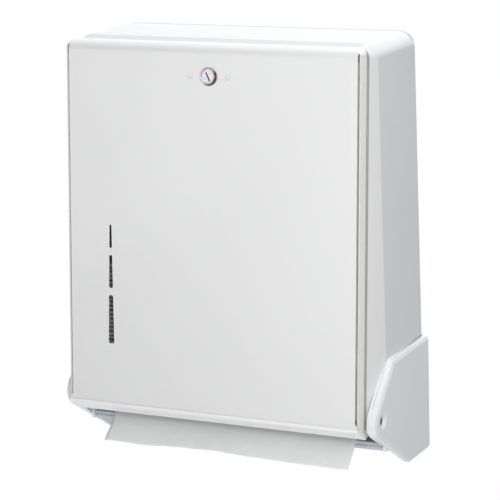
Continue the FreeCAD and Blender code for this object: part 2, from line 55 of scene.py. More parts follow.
MM = 0.001
LEAN = 0.07                        # depth per height of the closed door's leaning face
FACE_AT_ZERO = -120.91 * MM        # the face's depth at height 0
LOCK_Z = 140.3 * MM                # height of the lock and of the weld marks beside it
PILE_BASE = -171.7 * MM            # underside of the lowest towel
FOLD_PITCH = 3.84 * MM
FOLDS = 37
REFILL_GAP = 0.2 * MM
PILE_TOP = PILE_BASE + FOLDS * FOLD_PITCH + REFILL_GAP
MERGE_DISTANCE = 0.002 * MM
FLAT_ANGLE = math.radians(0.4)
SHARP_ANGLE = math.radians(24.0)
EASE_STEPS = 3                     # faces across each rounded edge
ROUND_SIDES = 20                   # faces round a shank
BELOW_CHAMFER = 0.6                # share of a fastener head's height
STUD_TAPER = 0.75
LEAF_SECTIONS = 32                 # points along a folded towel
FOLD_ROUND = 0.46                  # radius of a fold per thickness
RIPPLE_SCALE = 26.0
NUMBER_SOCKET = "NodeSocketFloat"

Colour = tuple[float, float, float]
Point = tuple[float, float, float]
Span = tuple[float, float]
WHITE: Colour = (1.0, 1.0, 1.0)

# Each mask rises from its low value to its high one.
CLOUD_SPAN: Span = (0.15, 0.85)
WORN_TURN: Span = (0.004, 0.12)
WORN_PATCHES: Span = (0.38, 0.62)
UPWARD_TURN: Span = (0.55, 0.95)
DUST_PATCHES: Span = (0.4, 0.75)
SPOT_SPAN: Span = (0.4, 0.65)
DOT_SPAN: Span = (0.12, 0.42)
FLECK_SPAN: Span = (0.35, 0.7)


class Body(Enum):
    """The bodies that pieces ride on."""

    CABINET = "cabinet"
    DOOR = "door"
    LOCK = "lock"


class Slot(Enum):
    """The record's material slots."""

    ENAMEL = "white_enamel"
    CABINET = "cabinet_white"
    RAIL = "rail_cream"
    SILL = "sill_white"
    CHEEK = "cheek_white"
    TRAY = "tray_steel"
    CHROME = "lock_chrome"
    ZINC = "zinc"
    PIN = "dark_pin"
    ACETAL = "acetal"
    PAPER = "towel_paper"


# ---- node trees -----------------------------------------------------------------------
class Wiring:
    """Short calls that place and link the nodes of one tree."""

    def __init__(self, tree: bpy.types.NodeTree) -> None:
        """Keeps the tree that the calls work on."""
        self.tree = tree

    def add(self, kind: str, inputs: dict | None = None, **settings: object) -> bpy.types.Node:
        """Places a node.

        Args:
            kind: Class name of the node.
            inputs: Sockets to link or plain values to set, by input name or index.
            settings: Properties of the node, such as its operation.

        Returns:
            The new node.
        """
        node = self.tree.nodes.new(kind)
        for name, value in settings.items():
            setattr(node, name, value)
        for key, value in (inputs or {}).items():
            self.feed(node.inputs[key], value)
        return node

    def feed(self, socket: bpy.types.NodeSocket, value: object) -> None:
        """Links a socket to another, or sets its plain value.

        Args:
            socket: The input to fill.
            value: An output socket, or a number, tuple or data block.
        """
        if isinstance(value, bpy.types.NodeSocket):
            self.tree.links.new(value, socket)
        else:
            socket.default_value = value

    def math(self, operation: str, a: object, b: object = 0.0) -> bpy.types.NodeSocket:
        """Returns the output of a Math node on a and b."""
        return self.add("ShaderNodeMath", {0: a, 1: b}, operation=operation).outputs[0]

    def times(self, a: object, b: object) -> bpy.types.NodeSocket:
        """Returns the product of a and b."""
        return self.math("MULTIPLY", a, b)

    def vector(self, operation: str, a: object, b: object = (0.0, 0.0, 0.0)) -> bpy.types.Node:
        """Returns a Vector Math node on a and b."""
        return self.add("ShaderNodeVectorMath", {0: a, 1: b}, operation=operation)

    def scaled(self, vector: object, size: object) -> bpy.types.NodeSocket:
        """Returns a vector times a number."""
        return self.add("ShaderNodeVectorMath", {0: vector, "Scale": size}, operation="SCALE").outputs[0]

    def place(self) -> bpy.types.NodeSocket:
        """Returns the place on the object, in metres."""
        return self.add("ShaderNodeTexCoord").outputs["Object"]

    def normal(self) -> bpy.types.NodeSocket:
        """Returns the way the surface faces on the object."""
        return self.add("ShaderNodeTexCoord").outputs["Normal"]

    def axes(self, vector: object) -> bpy.types.NodeOutputs:
        """Returns a vector's X, Y and Z."""
        return self.add("ShaderNodeSeparateXYZ", {0: vector}).outputs

    def xyz(self, x: object = 0.0, y: object = 0.0, z: object = 0.0) -> bpy.types.NodeSocket:
        """Returns the vector of x, y and z."""
        return self.add("ShaderNodeCombineXYZ", {0: x, 1: y, 2: z}).outputs[0]

    def moved(self, geometry: bpy.types.NodeSocket, offset: object) -> bpy.types.NodeSocket:
        """Returns a geometry moved as a whole."""
        return self.add("GeometryNodeTransform", {"Geometry": geometry, "Translation": offset}).outputs[0]

    def shifted(self, geometry: bpy.types.NodeSocket, offset: object) -> bpy.types.NodeSocket:
        """Returns a geometry with an offset for each of its points."""
        return self.add("GeometryNodeSetPosition", {"Geometry": geometry, "Offset": offset}).outputs[0]

    def spread(self, value: object, low: float, high: float, to_low: float = 0.0,
               to_high: float = 1.0) -> bpy.types.NodeSocket:
        """Maps a range of values to another, clamped.

        Args:
            value: Socket that varies over the surface.
            low: Value that gives to_low.
            high: Value that gives to_high.
            to_low: Output at low.
            to_high: Output at high.

        Returns:
            The mapped value's socket.
        """
        node = self.add("ShaderNodeMapRange", {0: value, 1: low, 2: high, 3: to_low, 4: to_high})
        return node.outputs[0]

    def blend(self, share: object, a: object, b: object) -> bpy.types.NodeSocket:
        """Mixes two colours.

        Args:
            share: 0 for a, 1 for b.
            a: First colour.
            b: Second colour.

        Returns:
            The mixed colour's socket.
        """
        node = self.add("ShaderNodeMix", {0: share, 6: opaque(a), 7: opaque(b)}, data_type="RGBA")
        return node.outputs[2]

    def noise(self, place: object, scale: object, detail: float = 2.0,
              rough: float = 0.5) -> bpy.types.NodeSocket:
        """Adds soft noise.

        Args:
            place: Coordinates in metres.
            scale: Cells per metre.
            detail: Octaves of finer noise.
            rough: Strength of the finer octaves.

        Returns:
            The noise's value, about 0 to 1.
        """
        return self.add("ShaderNodeTexNoise", {
            "Vector": place, "Scale": scale, "Detail": detail, "Roughness": rough}).outputs[0]


def opaque(value: object) -> object:
    """Gives a plain colour its alpha, and leaves a socket as it is."""
    return (*value, 1.0) if isinstance(value, tuple) and len(value) == 3 else value


def open_group(name: str, inputs: dict[str, float],
               *outputs: str) -> tuple[Wiring, bpy.types.Node, bpy.types.Node]:
    """Starts a shader node group whose named sockets are all numbers.

    Args:
        name: The group's name.
        inputs: Default of each input, by name.
        outputs: Name of each output.

    Returns:
        The wiring of the group's tree, its input node and its output node.
    """
    tree = bpy.data.node_groups.new(name, "ShaderNodeTree")
    for label, default in inputs.items():
        socket = tree.interface.new_socket(label, in_out="INPUT", socket_type=NUMBER_SOCKET)
        socket.default_value = default
    for label in outputs:
        tree.interface.new_socket(label, in_out="OUTPUT", socket_type=NUMBER_SOCKET)
    wiring = Wiring(tree)
    return wiring, wiring.add("NodeGroupInput"), wiring.add("NodeGroupOutput")


@lru_cache(maxsize=None)
def surface_grain() -> bpy.types.NodeTree:
    """Builds the group for fine surface texture and slow, cloudy variation.

    Returns:
        Group with inputs Fine Scale and Broad Scale, and outputs Height and Clouds.
    """
    wiring, given, out = open_group(
        "surface_grain", {"Fine Scale": 900.0, "Broad Scale": 14.0}, "Height", "Clouds")
    place = wiring.place()
    wiring.feed(out.inputs["Height"], wiring.noise(place, given.outputs["Fine Scale"], 1.5))
    clouds = wiring.noise(place, given.outputs["Broad Scale"], 2.0, 0.4)
    wiring.feed(out.inputs["Clouds"], wiring.spread(clouds, *CLOUD_SPAN))
    return wiring.tree


@lru_cache(maxsize=None)
def edge_wear() -> bpy.types.NodeTree:
    """Builds the group that finds rubbed outer edges, broken up by noise.

    Returns:
        Group with inputs Reach and Breakup, and output Mask.
    """
    wiring, given, out = open_group("edge_wear", {"Reach": 1.2 * MM, "Breakup": 160.0}, "Mask")
    rounded = wiring.add("ShaderNodeBevel", {"Radius": given.outputs["Reach"]}, samples=4).outputs[0]
    true = wiring.add("ShaderNodeNewGeometry").outputs["Normal"]
    turned = wiring.math("SUBTRACT", 1.0, wiring.vector("DOT_PRODUCT", rounded, true).outputs["Value"])
    edge = wiring.spread(turned, *WORN_TURN)
    patches = wiring.noise(wiring.place(), given.outputs["Breakup"], 3.0, 0.65)
    broken = wiring.spread(patches, *WORN_PATCHES, 0.25, 1.0)
    wiring.feed(out.inputs["Mask"], wiring.times(edge, broken))
    return wiring.tree


@lru_cache(maxsize=None)
def settled_dust() -> bpy.types.NodeTree:
    """Builds the group for thin dust on faces that look up.

    Returns:
        Group with input Scale and output Mask.
    """
    wiring, given, out = open_group("settled_dust", {"Scale": 60.0}, "Mask")
    upward = wiring.axes(wiring.add("ShaderNodeNewGeometry").outputs["Normal"])["Z"]
    facing = wiring.spread(upward, *UPWARD_TURN)
    drift = wiring.spread(wiring.noise(wiring.place(), given.outputs["Scale"], 5.0, 0.7), *DUST_PATCHES)
    wiring.feed(out.inputs["Mask"], wiring.times(facing, drift))
    return wiring.tree


@lru_cache(maxsize=None)
def gap_painted_shade() -> bpy.types.NodeTree:
    """Builds the group for painted shade in the gaps at some depth behind the door's face, broken up by noise.

    Returns:
        Group with inputs From, To, Soft and Breakup, and output Mask.
    """
    wiring, given, out = open_group(
        "gap_painted_shade", {"From": 0.0, "To": 10.0 * MM, "Soft": 0.4 * MM, "Breakup": 0.15}, "Mask")
    get = given.outputs
    place = wiring.place()
    slanted = wiring.vector("DOT_PRODUCT", place, (0.0, 1.0, -LEAN)).outputs["Value"]
    depth = wiring.math("SUBTRACT", slanted, FACE_AT_ZERO)
    rise = wiring.math("DIVIDE", wiring.math("SUBTRACT", depth, get["From"]), get["Soft"])
    fall = wiring.math("DIVIDE", wiring.math("SUBTRACT", get["To"], depth), get["Soft"])
    inside = wiring.spread(wiring.math("MINIMUM", rise, fall), -0.5, 0.5)
    # Noise breaks up the painted shade.
    patchy = wiring.times(wiring.noise(place, 60.0, 3.0), get["Breakup"])
    wiring.feed(out.inputs["Mask"], wiring.times(inside, wiring.math("SUBTRACT", 1.0, patchy)))
    return wiring.tree


@lru_cache(maxsize=None)
def round_axis() -> bpy.types.NodeTree:
    """Builds the group that measures from an axis square to the wall.

    Returns:
        Group with inputs X and Z of the axis, and outputs Distance from it, Right and Up.
    """
    wiring, given, out = open_group("round_axis", {"X": 0.0, "Z": LOCK_Z}, "Distance", "Right", "Up")
    axis = wiring.xyz(x=given.outputs["X"], z=given.outputs["Z"])
    offset = wiring.vector("SUBTRACT", wiring.place(), axis).outputs[0]
    flat = wiring.vector("MULTIPLY", offset, (1.0, 0.0, 1.0)).outputs[0]
    wiring.feed(out.inputs["Distance"], wiring.vector("LENGTH", flat).outputs["Value"])
    wiring.feed(out.inputs["Right"], wiring.axes(flat)["X"])
    wiring.feed(out.inputs["Up"], wiring.axes(flat)["Z"])
    return wiring.tree


@lru_cache(maxsize=None)
def brush_lines() -> bpy.types.NodeTree:
    """Builds the group for fine drawn lines in metal, along X.

    Returns:
        Group with inputs Line Scale and Stretch, and outputs Lines and Spots.
    """
    wiring, given, out = open_group("brush_lines", {"Line Scale": 1800.0, "Stretch": 0.04}, "Lines", "Spots")
    place = wiring.place()
    drawn = wiring.vector("MULTIPLY", place, wiring.xyz(given.outputs["Stretch"], 1.0, 1.0)).outputs[0]
    wiring.feed(out.inputs["Lines"], wiring.noise(drawn, given.outputs["Line Scale"], 1.0))
    spots = wiring.noise(place, wiring.times(given.outputs["Line Scale"], 0.12), 3.0, 0.6)
    wiring.feed(out.inputs["Spots"], wiring.spread(spots, *SPOT_SPAN))
    return wiring.tree


@lru_cache(maxsize=None)
def tissue_fibre() -> bpy.types.NodeTree:
    """Builds the group for pressed tissue: matted fibres and rows of small embossed dots.

    Returns:
        Group with inputs Fibre Scale and Dot Pitch, and outputs Height and Flecks.
    """
    wiring, given, out = open_group(
        "tissue_fibre", {"Fibre Scale": 1400.0, "Dot Pitch": 2.1 * MM}, "Height", "Flecks")
    place = wiring.place()
    fibres = wiring.noise(place, given.outputs["Fibre Scale"], 4.0, 0.7)
    spacing = wiring.math("DIVIDE", 1.0, given.outputs["Dot Pitch"])
    dots = wiring.add("ShaderNodeTexVoronoi", {"Vector": place, "Scale": spacing, "Randomness": 0.25})
    dimple = wiring.spread(dots.outputs["Distance"], *DOT_SPAN)
    height = wiring.math("ADD", wiring.times(fibres, 0.55), wiring.times(dimple, 0.45))
    wiring.feed(out.inputs["Height"], height)
    wiring.feed(out.inputs["Flecks"], wiring.spread(wiring.noise(place, 70.0, 5.0, 0.65), *FLECK_SPAN))
    return wiring.tree


# ---- finishes -------------------------------------------------------------------------
@dataclass(frozen=True)
class Finish:
    """What every finish has: its slot, two close tones and how matt it is."""

    slot: Slot
    tone: Colour
    drift: Colour
    roughness: float

    def name(self) -> str:
        """Name of the material."""
        return f"{self.slot.value}_finish"

    def material(self) -> bpy.types.Material:
        """Builds the material on its first use.

        Returns:
            The one material of this finish.
        """
        name = self.name()
        made = bpy.data.materials.get(name)
        if made is not None:
            return made
        made = bpy.data.materials.new(name)
        made.use_nodes = True
        made.node_tree.nodes.clear()
        wiring = Wiring(made.node_tree)
        shader = wiring.add("ShaderNodeBsdfPrincipled")
        wiring.add("ShaderNodeOutputMaterial", {"Surface": shader.outputs["BSDF"]})
        self.wire(wiring, shader)
        return made

    def wire(self, wiring: Wiring, shader: bpy.types.Node) -> None:
        """Feeds the shader. Each kind of finish has its own way."""
        raise NotImplementedError

    def tint(self, wiring: Wiring, colour: bpy.types.NodeSocket) -> bpy.types.NodeSocket:
        """Returns the colour as it is. A finish with marks of its own adds them here."""
        return colour

    def group(self, wiring: Wiring, tree: bpy.types.NodeTree, **values: float) -> bpy.types.NodeOutputs:
        """Places a shared group with this finish's own values.

        Args:
            wiring: Wiring of the material.
            tree: The shared group.
            values: Inputs by name, with _ for each space.

        Returns:
            The group's outputs.
        """
        node = wiring.add("ShaderNodeGroup", node_tree=tree)
        for key, value in values.items():
            wiring.feed(node.inputs[key.replace("_", " ")], value)
        return node.outputs

    def bump(self, wiring: Wiring, shader: bpy.types.Node, height: object, strength: float,
             depth: float) -> None:
        """Feeds a height to the shader's normal.

        Args:
            wiring: Wiring of the material.
            shader: The Principled shader.
            height: Socket of the height, 0 to 1.
            strength: Share of the bump that shows.
            depth: Height difference in metres.
        """
        node = wiring.add("ShaderNodeBump", {"Strength": strength, "Distance": depth, "Height": height})
        wiring.feed(shader.inputs["Normal"], node.outputs[0])


@dataclass(frozen=True)
class Coating(Finish):
    """Enamel on steel, or the smooth skin of a moulding."""

    worn: Colour = (0.86, 0.86, 0.86)
    wear: float = 0.3
    wear_reach: float = 1.1 * MM
    wear_breakup: float = 150.0
    dust: float = 0.06
    dust_tone: Colour = (0.55, 0.53, 0.5)
    dust_scale: float = 55.0
    dust_matt: float = 0.15
    peel_scale: float = 520.0
    peel_depth: float = 0.06 * MM
    peel_share: float = 0.35
    cloud_scale: float = 9.0
    cloud_matt: float = 0.07
    coat: float = 0.0
    coat_roughness: float = 0.12

    def wire(self, wiring: Wiring, shader: bpy.types.Node) -> None:
        """Gives cloudy colour, rubbed edges, thin dust and orange peel.

        Args:
            wiring: Wiring of the material.
            shader: The Principled shader.
        """
        grain = self.group(wiring, surface_grain(), Fine_Scale=self.peel_scale, Broad_Scale=self.cloud_scale)
        edge = self.group(wiring, edge_wear(), Reach=self.wear_reach, Breakup=self.wear_breakup)["Mask"]
        dust = self.group(wiring, settled_dust(), Scale=self.dust_scale)["Mask"]
        colour = wiring.blend(grain["Clouds"], self.tone, self.drift)
        colour = wiring.blend(wiring.times(edge, self.wear), colour, self.worn)
        colour = wiring.blend(wiring.times(dust, self.dust), colour, self.dust_tone)
        wiring.feed(shader.inputs["Base Color"], self.tint(wiring, colour))
        matt = wiring.spread(grain["Clouds"], 0.0, 1.0, self.roughness, self.roughness + self.cloud_matt)
        wiring.feed(shader.inputs["Roughness"], wiring.math("ADD", matt, wiring.times(dust, self.dust_matt)))
        wiring.feed(shader.inputs["Coat Weight"], self.coat)
        wiring.feed(shader.inputs["Coat Roughness"], self.coat_roughness)
        self.bump(wiring, shader, grain["Height"], self.peel_share, self.peel_depth)


@dataclass(frozen=True)
class ShellSkin(Coating):
    """The moulded shell, with light and shade painted into its tone by the way each of its faces lies."""

    # These tones paint light and shade: painted light on the slopes and shoulders, painted shade on the band
    # over the door, along the rear edge and in the front lip's gap, and a painted tone for the light on the
    # top.
    slope: Colour = (0.915, 0.912, 0.915)
    brow_painted_shade: Colour = (0.62, 0.62, 0.625)
    roof_painted_tone: Colour = (0.74, 0.75, 0.765)
    shoulder: Colour = (0.85, 0.86, 0.885)
    rear_painted_shade: Colour = (0.52, 0.52, 0.53)
    lip: Colour = (0.36, 0.35, 0.33)
    forward_turn: Span = (-0.14, -0.06)
    forward_share: float = 0.85
    shoulder_turn: Span = (0.10, 0.16)
    roof_turn: Span = (0.55, 0.85)
    rear_turn: Span = (0.3, 0.6)
    rear_y: Span = (-5.4 * MM, -4.6 * MM)
    side_x: Span = (133.0 * MM, 134.0 * MM)
    lip_depth: Span = (14.0 * MM, 16.9 * MM)

    def tint(self, wiring: Wiring, colour: bpy.types.NodeSocket) -> bpy.types.NodeSocket:
        """Paints light and shade by the way each face lies: a painted tone for the light on faces that look
        up, painted light on the shoulders and forward-leaning slopes, and painted shade on the band over the
        door, along the rear edge and in the front lip's gap.

        Args:
            wiring: Wiring of the material.
            colour: Socket of the colour so far.

        Returns:
            Socket of the changed colour.
        """
        turned, place = wiring.axes(wiring.normal()), wiring.axes(wiring.place())
        forward = wiring.spread(turned["Y"], *self.forward_turn, self.forward_share, 0.0)
        raised = wiring.spread(turned["Z"], *self.shoulder_turn)
        above = wiring.spread(turned["Z"], *self.roof_turn)
        # Painted light on the shoulders and a painted tone on the top, by how far each face looks up.
        colour = wiring.blend(above, wiring.blend(raised, colour, self.shoulder), self.roof_painted_tone)
        # Painted light on the forward-leaning slopes, painted shade where they also look up.
        colour = wiring.blend(forward, colour, wiring.blend(above, self.slope, self.brow_painted_shade))
        # Painted shade along the rear edge of the top.
        behind = wiring.spread(place["Y"], *self.rear_y)
        edge = wiring.times(wiring.spread(turned["Z"], *self.rear_turn), behind)
        colour = wiring.blend(edge, colour, self.rear_painted_shade)
        # Painted shade in the gap between the shell's front lip and the door, on the sides only.
        near, far = self.lip_depth
        painted_gap_shade = self.group(wiring, gap_painted_shade(), From=near, To=far)["Mask"]
        beside = wiring.spread(wiring.math("ABSOLUTE", place["X"]), *self.side_x)
        return wiring.blend(wiring.times(painted_gap_shade, beside), colour, self.lip)


@dataclass(frozen=True)
class RailSkin(Coating):
    """The rails' moulding, with painted shade in the groove beside the face, along the rear edge and on the
    faces that look forward.
    """

    # The three tones are painted shade: on the right groove's floor, along the rear edge, and on the faces
    # that look forward.
    painted_gap_shade: Colour = (0.30, 0.295, 0.285)
    rear: Colour = (0.50, 0.49, 0.465)
    rubbed: Colour = (0.70, 0.695, 0.68)
    front_turn: Span = (-0.8, -0.4)
    groove_depth: Span = (1.6 * MM, 12.0 * MM)
    groove_x: Span = (136.3 * MM, 136.5 * MM)
    groove_top: Span = (162.6 * MM, 163.4 * MM)
    rear_depth: Span = (12.6 * MM, 16.0 * MM)

    def tint(self, wiring: Wiring, colour: bpy.types.NodeSocket) -> bpy.types.NodeSocket:
        """Paints shade on the right groove's floor, along the hidden rear edge and on the faces that look
        forward, the front lip among them.

        Args:
            wiring: Wiring of the material.
            colour: Socket of the colour so far.

        Returns:
            Socket of the changed colour.
        """
        place = wiring.axes(wiring.place())
        # Painted shade on the faces that look forward, in place of their highlight.
        front = wiring.spread(wiring.axes(wiring.normal())["Y"], *self.front_turn, 1.0, 0.0)
        colour = wiring.blend(front, colour, self.rubbed)
        # Painted shade on the floor of the right groove only.
        near, far = self.groove_depth
        floor = self.group(wiring, gap_painted_shade(), From=near, To=far)["Mask"]
        inside = wiring.spread(wiring.math("ABSOLUTE", place["X"]), *self.groove_x, 1.0, 0.0)
        on_right = wiring.spread(place["X"], -MM, MM)
        low = wiring.spread(place["Z"], *self.groove_top, 1.0, 0.0)
        floor = wiring.times(wiring.times(floor, wiring.times(inside, on_right)), low)
        colour = wiring.blend(floor, colour, self.painted_gap_shade)
        # Painted shade along the rear edge.
        near, far = self.rear_depth
        edge = self.group(wiring, gap_painted_shade(), From=near, To=far)["Mask"]
        return wiring.blend(edge, colour, self.rear)


@dataclass(frozen=True)
class DoorEnamel(Coating):
    """The skin's enamel, with painted shade in a soft ring round the two weld marks beside the lock."""

    mark_xs: tuple[float, ...] = (-17.5 * MM, 17.5 * MM)
    ring: float = 2.2 * MM
    ring_width: float = 1.1 * MM
    # Shares of the painted shade below and above each mark.
    ring_shares: Span = (0.6, 0.12)
    dimple_painted_shade: Colour = (0.60, 0.60, 0.605)

    def tint(self, wiring: Wiring, colour: bpy.types.NodeSocket) -> bpy.types.NodeSocket:
        """Paints shade in a soft ring round each mark's dimple, more below it than above.

        Args:
            wiring: Wiring of the material.
            colour: Socket of the colour so far.

        Returns:
            Socket of the changed colour.
        """
        # The painted shade stands for each dimple's shading, darker on its lower side.
        for x in self.mark_xs:
            mark = self.group(wiring, round_axis(), X=x, Z=LOCK_Z)
            off_ring = wiring.math("ABSOLUTE", wiring.math("SUBTRACT", mark["Distance"], self.ring))
            ring = wiring.spread(off_ring, 0.0, self.ring_width, 1.0, 0.0)
            share = wiring.spread(mark["Up"], -self.ring, self.ring, *self.ring_shares)
            colour = wiring.blend(wiring.times(ring, share), colour, self.dimple_painted_shade)
        return colour


@dataclass(frozen=True)
class Plating(Finish):
    """Plated or blackened metal with drawn lines."""

    metallic: float = 1.0
    line_scale: float = 1800.0
    line_stretch: float = 0.06
    line_depth: float = 0.02 * MM
    line_share: float = 0.3
    line_span: Span = (0.3, 0.7)
    line_matt: Span = (0.75, 1.3)
    edge_reach: float = 0.5 * MM
    edge_breakup: float = 400.0
    edge_gain: float = 1.25
    edge_lift: float = 0.05

    def wire(self, wiring: Wiring, shader: bpy.types.Node) -> None:
        """Gives spotty tone, lines in the gloss and bright edges.

        Args:
            wiring: Wiring of the material.
            shader: The Principled shader.
        """
        lines = self.group(wiring, brush_lines(), Line_Scale=self.line_scale, Stretch=self.line_stretch)
        edge = self.group(wiring, edge_wear(), Reach=self.edge_reach, Breakup=self.edge_breakup)["Mask"]
        colour = wiring.blend(lines["Spots"], self.tone, self.drift)
        bright = tuple(min(1.0, c * self.edge_gain + self.edge_lift) for c in self.tone)
        wiring.feed(shader.inputs["Base Color"], self.tint(wiring, wiring.blend(edge, colour, bright)))
        glossy, dull = (self.roughness * share for share in self.line_matt)
        matt = wiring.spread(lines["Lines"], *self.line_span, glossy, dull)
        wiring.feed(shader.inputs["Roughness"], matt)
        wiring.feed(shader.inputs["Metallic"], self.metallic)
        self.bump(wiring, shader, lines["Lines"], self.line_share, self.line_depth)


@dataclass(frozen=True)
class CollarPaintedReflection(Plating):
    """Plating with a painted reflection on a round collar: dark on the low right flank, pink on the other side
    of the rim.
    """

    dark_painted_reflection: Colour = (0.11, 0.07, 0.04)
    pink_painted_reflection: Colour = (0.42, 0.29, 0.30)
    rim: Span = (5.2 * MM, 6.0 * MM)
    reach: float = 8.0 * MM
    flank: Span = (0.83, -0.55)
    dark_reflection_span: Span = (-0.35, 0.5)
    pink_reflection_span: Span = (0.1, -0.6)
    cloud_scale: float = 500.0
    cloud_share: float = 0.5

    def name(self) -> str:
        """Name of its own, since the slot's plain finish has the usual one."""
        return f"{self.slot.value}_aged_finish"

    def tint(self, wiring: Wiring, colour: bpy.types.NodeSocket) -> bpy.types.NodeSocket:
        """Paints a dark reflection on one side of the rim and a pink reflection on the other.

        Args:
            wiring: Wiring of the material.
            colour: Socket of the colour so far.

        Returns:
            Socket of the changed colour.
        """
        centre = self.group(wiring, round_axis(), X=0.0, Z=LOCK_Z)
        on_flank = wiring.spread(centre["Distance"], *self.rim)
        right, up = (share / self.reach for share in self.flank)
        across = wiring.math("ADD", wiring.times(centre["Right"], right), wiring.times(centre["Up"], up))
        cloud = wiring.math("SUBTRACT", wiring.noise(wiring.place(), self.cloud_scale, 3.0), 0.5)
        across = wiring.math("ADD", across, wiring.times(cloud, self.cloud_share))
        # Painted reflection: dark on the low right flank, pink on the opposite side.
        dark_reflection_share = wiring.times(on_flank, wiring.spread(across, *self.dark_reflection_span))
        pink_reflection_share = wiring.times(on_flank, wiring.spread(across, *self.pink_reflection_span))
        return wiring.blend(pink_reflection_share, wiring.blend(dark_reflection_share, colour, self.dark_painted_reflection), self.pink_painted_reflection)


@dataclass(frozen=True)
class Tissue(Finish):
    """Soft pressed paper."""

    fibre_scale: float = 1400.0
    dot_pitch: float = 2.1 * MM
    emboss: float = 0.12 * MM
    emboss_share: float = 0.5
    fibre_span: Span = (0.2, 0.8)
    hollow_matt: float = 0.08
    sheen: float = 0.15
    sheen_roughness: float = 0.6

    def wire(self, wiring: Wiring, shader: bpy.types.Node) -> None:
        """Gives flecked tone, soft sheen and embossed fibres.

        Args:
            wiring: Wiring of the material.
            shader: The Principled shader.
        """
        fibre = self.group(wiring, tissue_fibre(), Fibre_Scale=self.fibre_scale, Dot_Pitch=self.dot_pitch)
        colour = wiring.blend(fibre["Flecks"], self.tone, self.drift)
        wiring.feed(shader.inputs["Base Color"], self.tint(wiring, colour))
        matt = wiring.spread(fibre["Height"], *self.fibre_span, self.roughness - self.hollow_matt,
                             self.roughness)
        wiring.feed(shader.inputs["Roughness"], matt)
        wiring.feed(shader.inputs["Sheen Weight"], self.sheen)
        wiring.feed(shader.inputs["Sheen Roughness"], self.sheen_roughness)
        self.bump(wiring, shader, fibre["Height"], self.emboss_share, self.emboss)


@dataclass(frozen=True)
class FoldedTissue(Tissue):
    """The pile's tissue, with painted shade in the creases between its folds."""

    # Colour of the painted shade in each crease.
    crease: Colour = (0.12, 0.135, 0.12)
    fold_shade_share: float = 0.85
    fold_shade_span: Span = (0.26, 0.40)
    fade: Span = (-0.98 * MM, -0.38 * MM)

    def name(self) -> str:
        """Name of its own, since the hanging end has the slot's usual one."""
        return f"{self.slot.value}_folded_finish"

    def tint(self, wiring: Wiring, colour: bpy.types.NodeSocket) -> bpy.types.NodeSocket:
        """Paints shade into each crease below the pile's top.

        Args:
            wiring: Wiring of the material.
            colour: Socket of the colour so far.

        Returns:
            Socket of the changed colour.
        """
        height = wiring.axes(wiring.place())["Z"]
        fade_from, fade_to = (PILE_TOP + offset for offset in self.fade)
        # The painted shade fades out just below the pile's top.
        below_top = wiring.spread(height, fade_from, fade_to, self.fold_shade_share, 0.0)
        turns = wiring.math("DIVIDE", wiring.math("SUBTRACT", height, PILE_BASE), FOLD_PITCH)
        off_middle = wiring.math("ABSOLUTE", wiring.math("SUBTRACT", wiring.math("FRACT", turns), 0.5))
        share = wiring.times(below_top, wiring.spread(off_middle, *self.fold_shade_span))
        return wiring.blend(share, colour, self.crease)


@dataclass(frozen=True)
class Finishes:
    """The finishes of the whole cabinet."""

    enamel: DoorEnamel = DoorEnamel(Slot.ENAMEL, (0.835, 0.836, 0.843), (0.815, 0.816, 0.825), 0.28, coat=0.2)
    shell: ShellSkin = ShellSkin(Slot.CABINET, (0.748, 0.768, 0.79), (0.728, 0.748, 0.77), 0.36,
                                 cloud_scale=18.0)
    rail: RailSkin = RailSkin(Slot.RAIL, (0.935, 0.932, 0.912), (0.915, 0.91, 0.885), 0.36, peel_scale=900.0)
    sill: Coating = Coating(Slot.SILL, (0.95, 0.95, 0.95), (0.925, 0.925, 0.925), 0.3, peel_scale=900.0)
    cheek: Coating = Coating(Slot.CHEEK, (0.86, 0.872, 0.89), (0.84, 0.852, 0.87), 0.34, cloud_scale=18.0)
    tray: Coating = Coating(Slot.TRAY, (0.62, 0.68, 0.72), (0.58, 0.64, 0.685), 0.34, worn=(0.7, 0.73, 0.75))
    acetal: Coating = Coating(Slot.ACETAL, (0.85, 0.85, 0.83), (0.81, 0.81, 0.79), 0.45, peel_scale=1500.0)
    plug: Plating = Plating(Slot.CHROME, (0.40, 0.39, 0.46), (0.36, 0.33, 0.38), 0.30)
    collar: CollarPaintedReflection = CollarPaintedReflection(Slot.CHROME, (0.62, 0.60, 0.60), (0.52, 0.48, 0.46), 0.2)
    zinc: Plating = Plating(Slot.ZINC, (0.60, 0.61, 0.62), (0.50, 0.50, 0.49), 0.36)
    pin: Plating = Plating(Slot.PIN, (0.06, 0.06, 0.065), (0.045, 0.045, 0.05), 0.42, metallic=0.2)
    paper: Tissue = Tissue(Slot.PAPER, (0.925, 0.928, 0.93), (0.895, 0.898, 0.90), 0.92)
    pile: FoldedTissue = FoldedTissue(Slot.PAPER, (0.90, 0.93, 0.91), (0.86, 0.89, 0.87), 0.92)


FINISHES = Finishes()


# ---- rigid pieces ---------------------------------------------------------------------
EdgeRule = Callable[[bmesh.types.BMEdge], float | None]
MeshRule = Callable[[bmesh.types.BMesh], None]


def keep_mesh(bm: bmesh.types.BMesh, name: str) -> bpy.types.Object:
    """Turns a working mesh into an object of the scene.

    Args:
        bm: The working mesh, which is freed.
        name: Name of the mesh and of the object.

    Returns:
        The new object.
    """
    mesh = bpy.data.meshes.new(name)
    bm.to_mesh(mesh)
    bm.free()
    piece = bpy.data.objects.new(name, mesh)
    bpy.context.scene.collection.objects.link(piece)
    return piece


def every_edge(edge: bmesh.types.BMEdge) -> float | None:
    """Leaves the choice to the edge's own angle."""
    return None


def as_packed(bm: bmesh.types.BMesh) -> None:
    """Leaves the merged mesh as it is."""


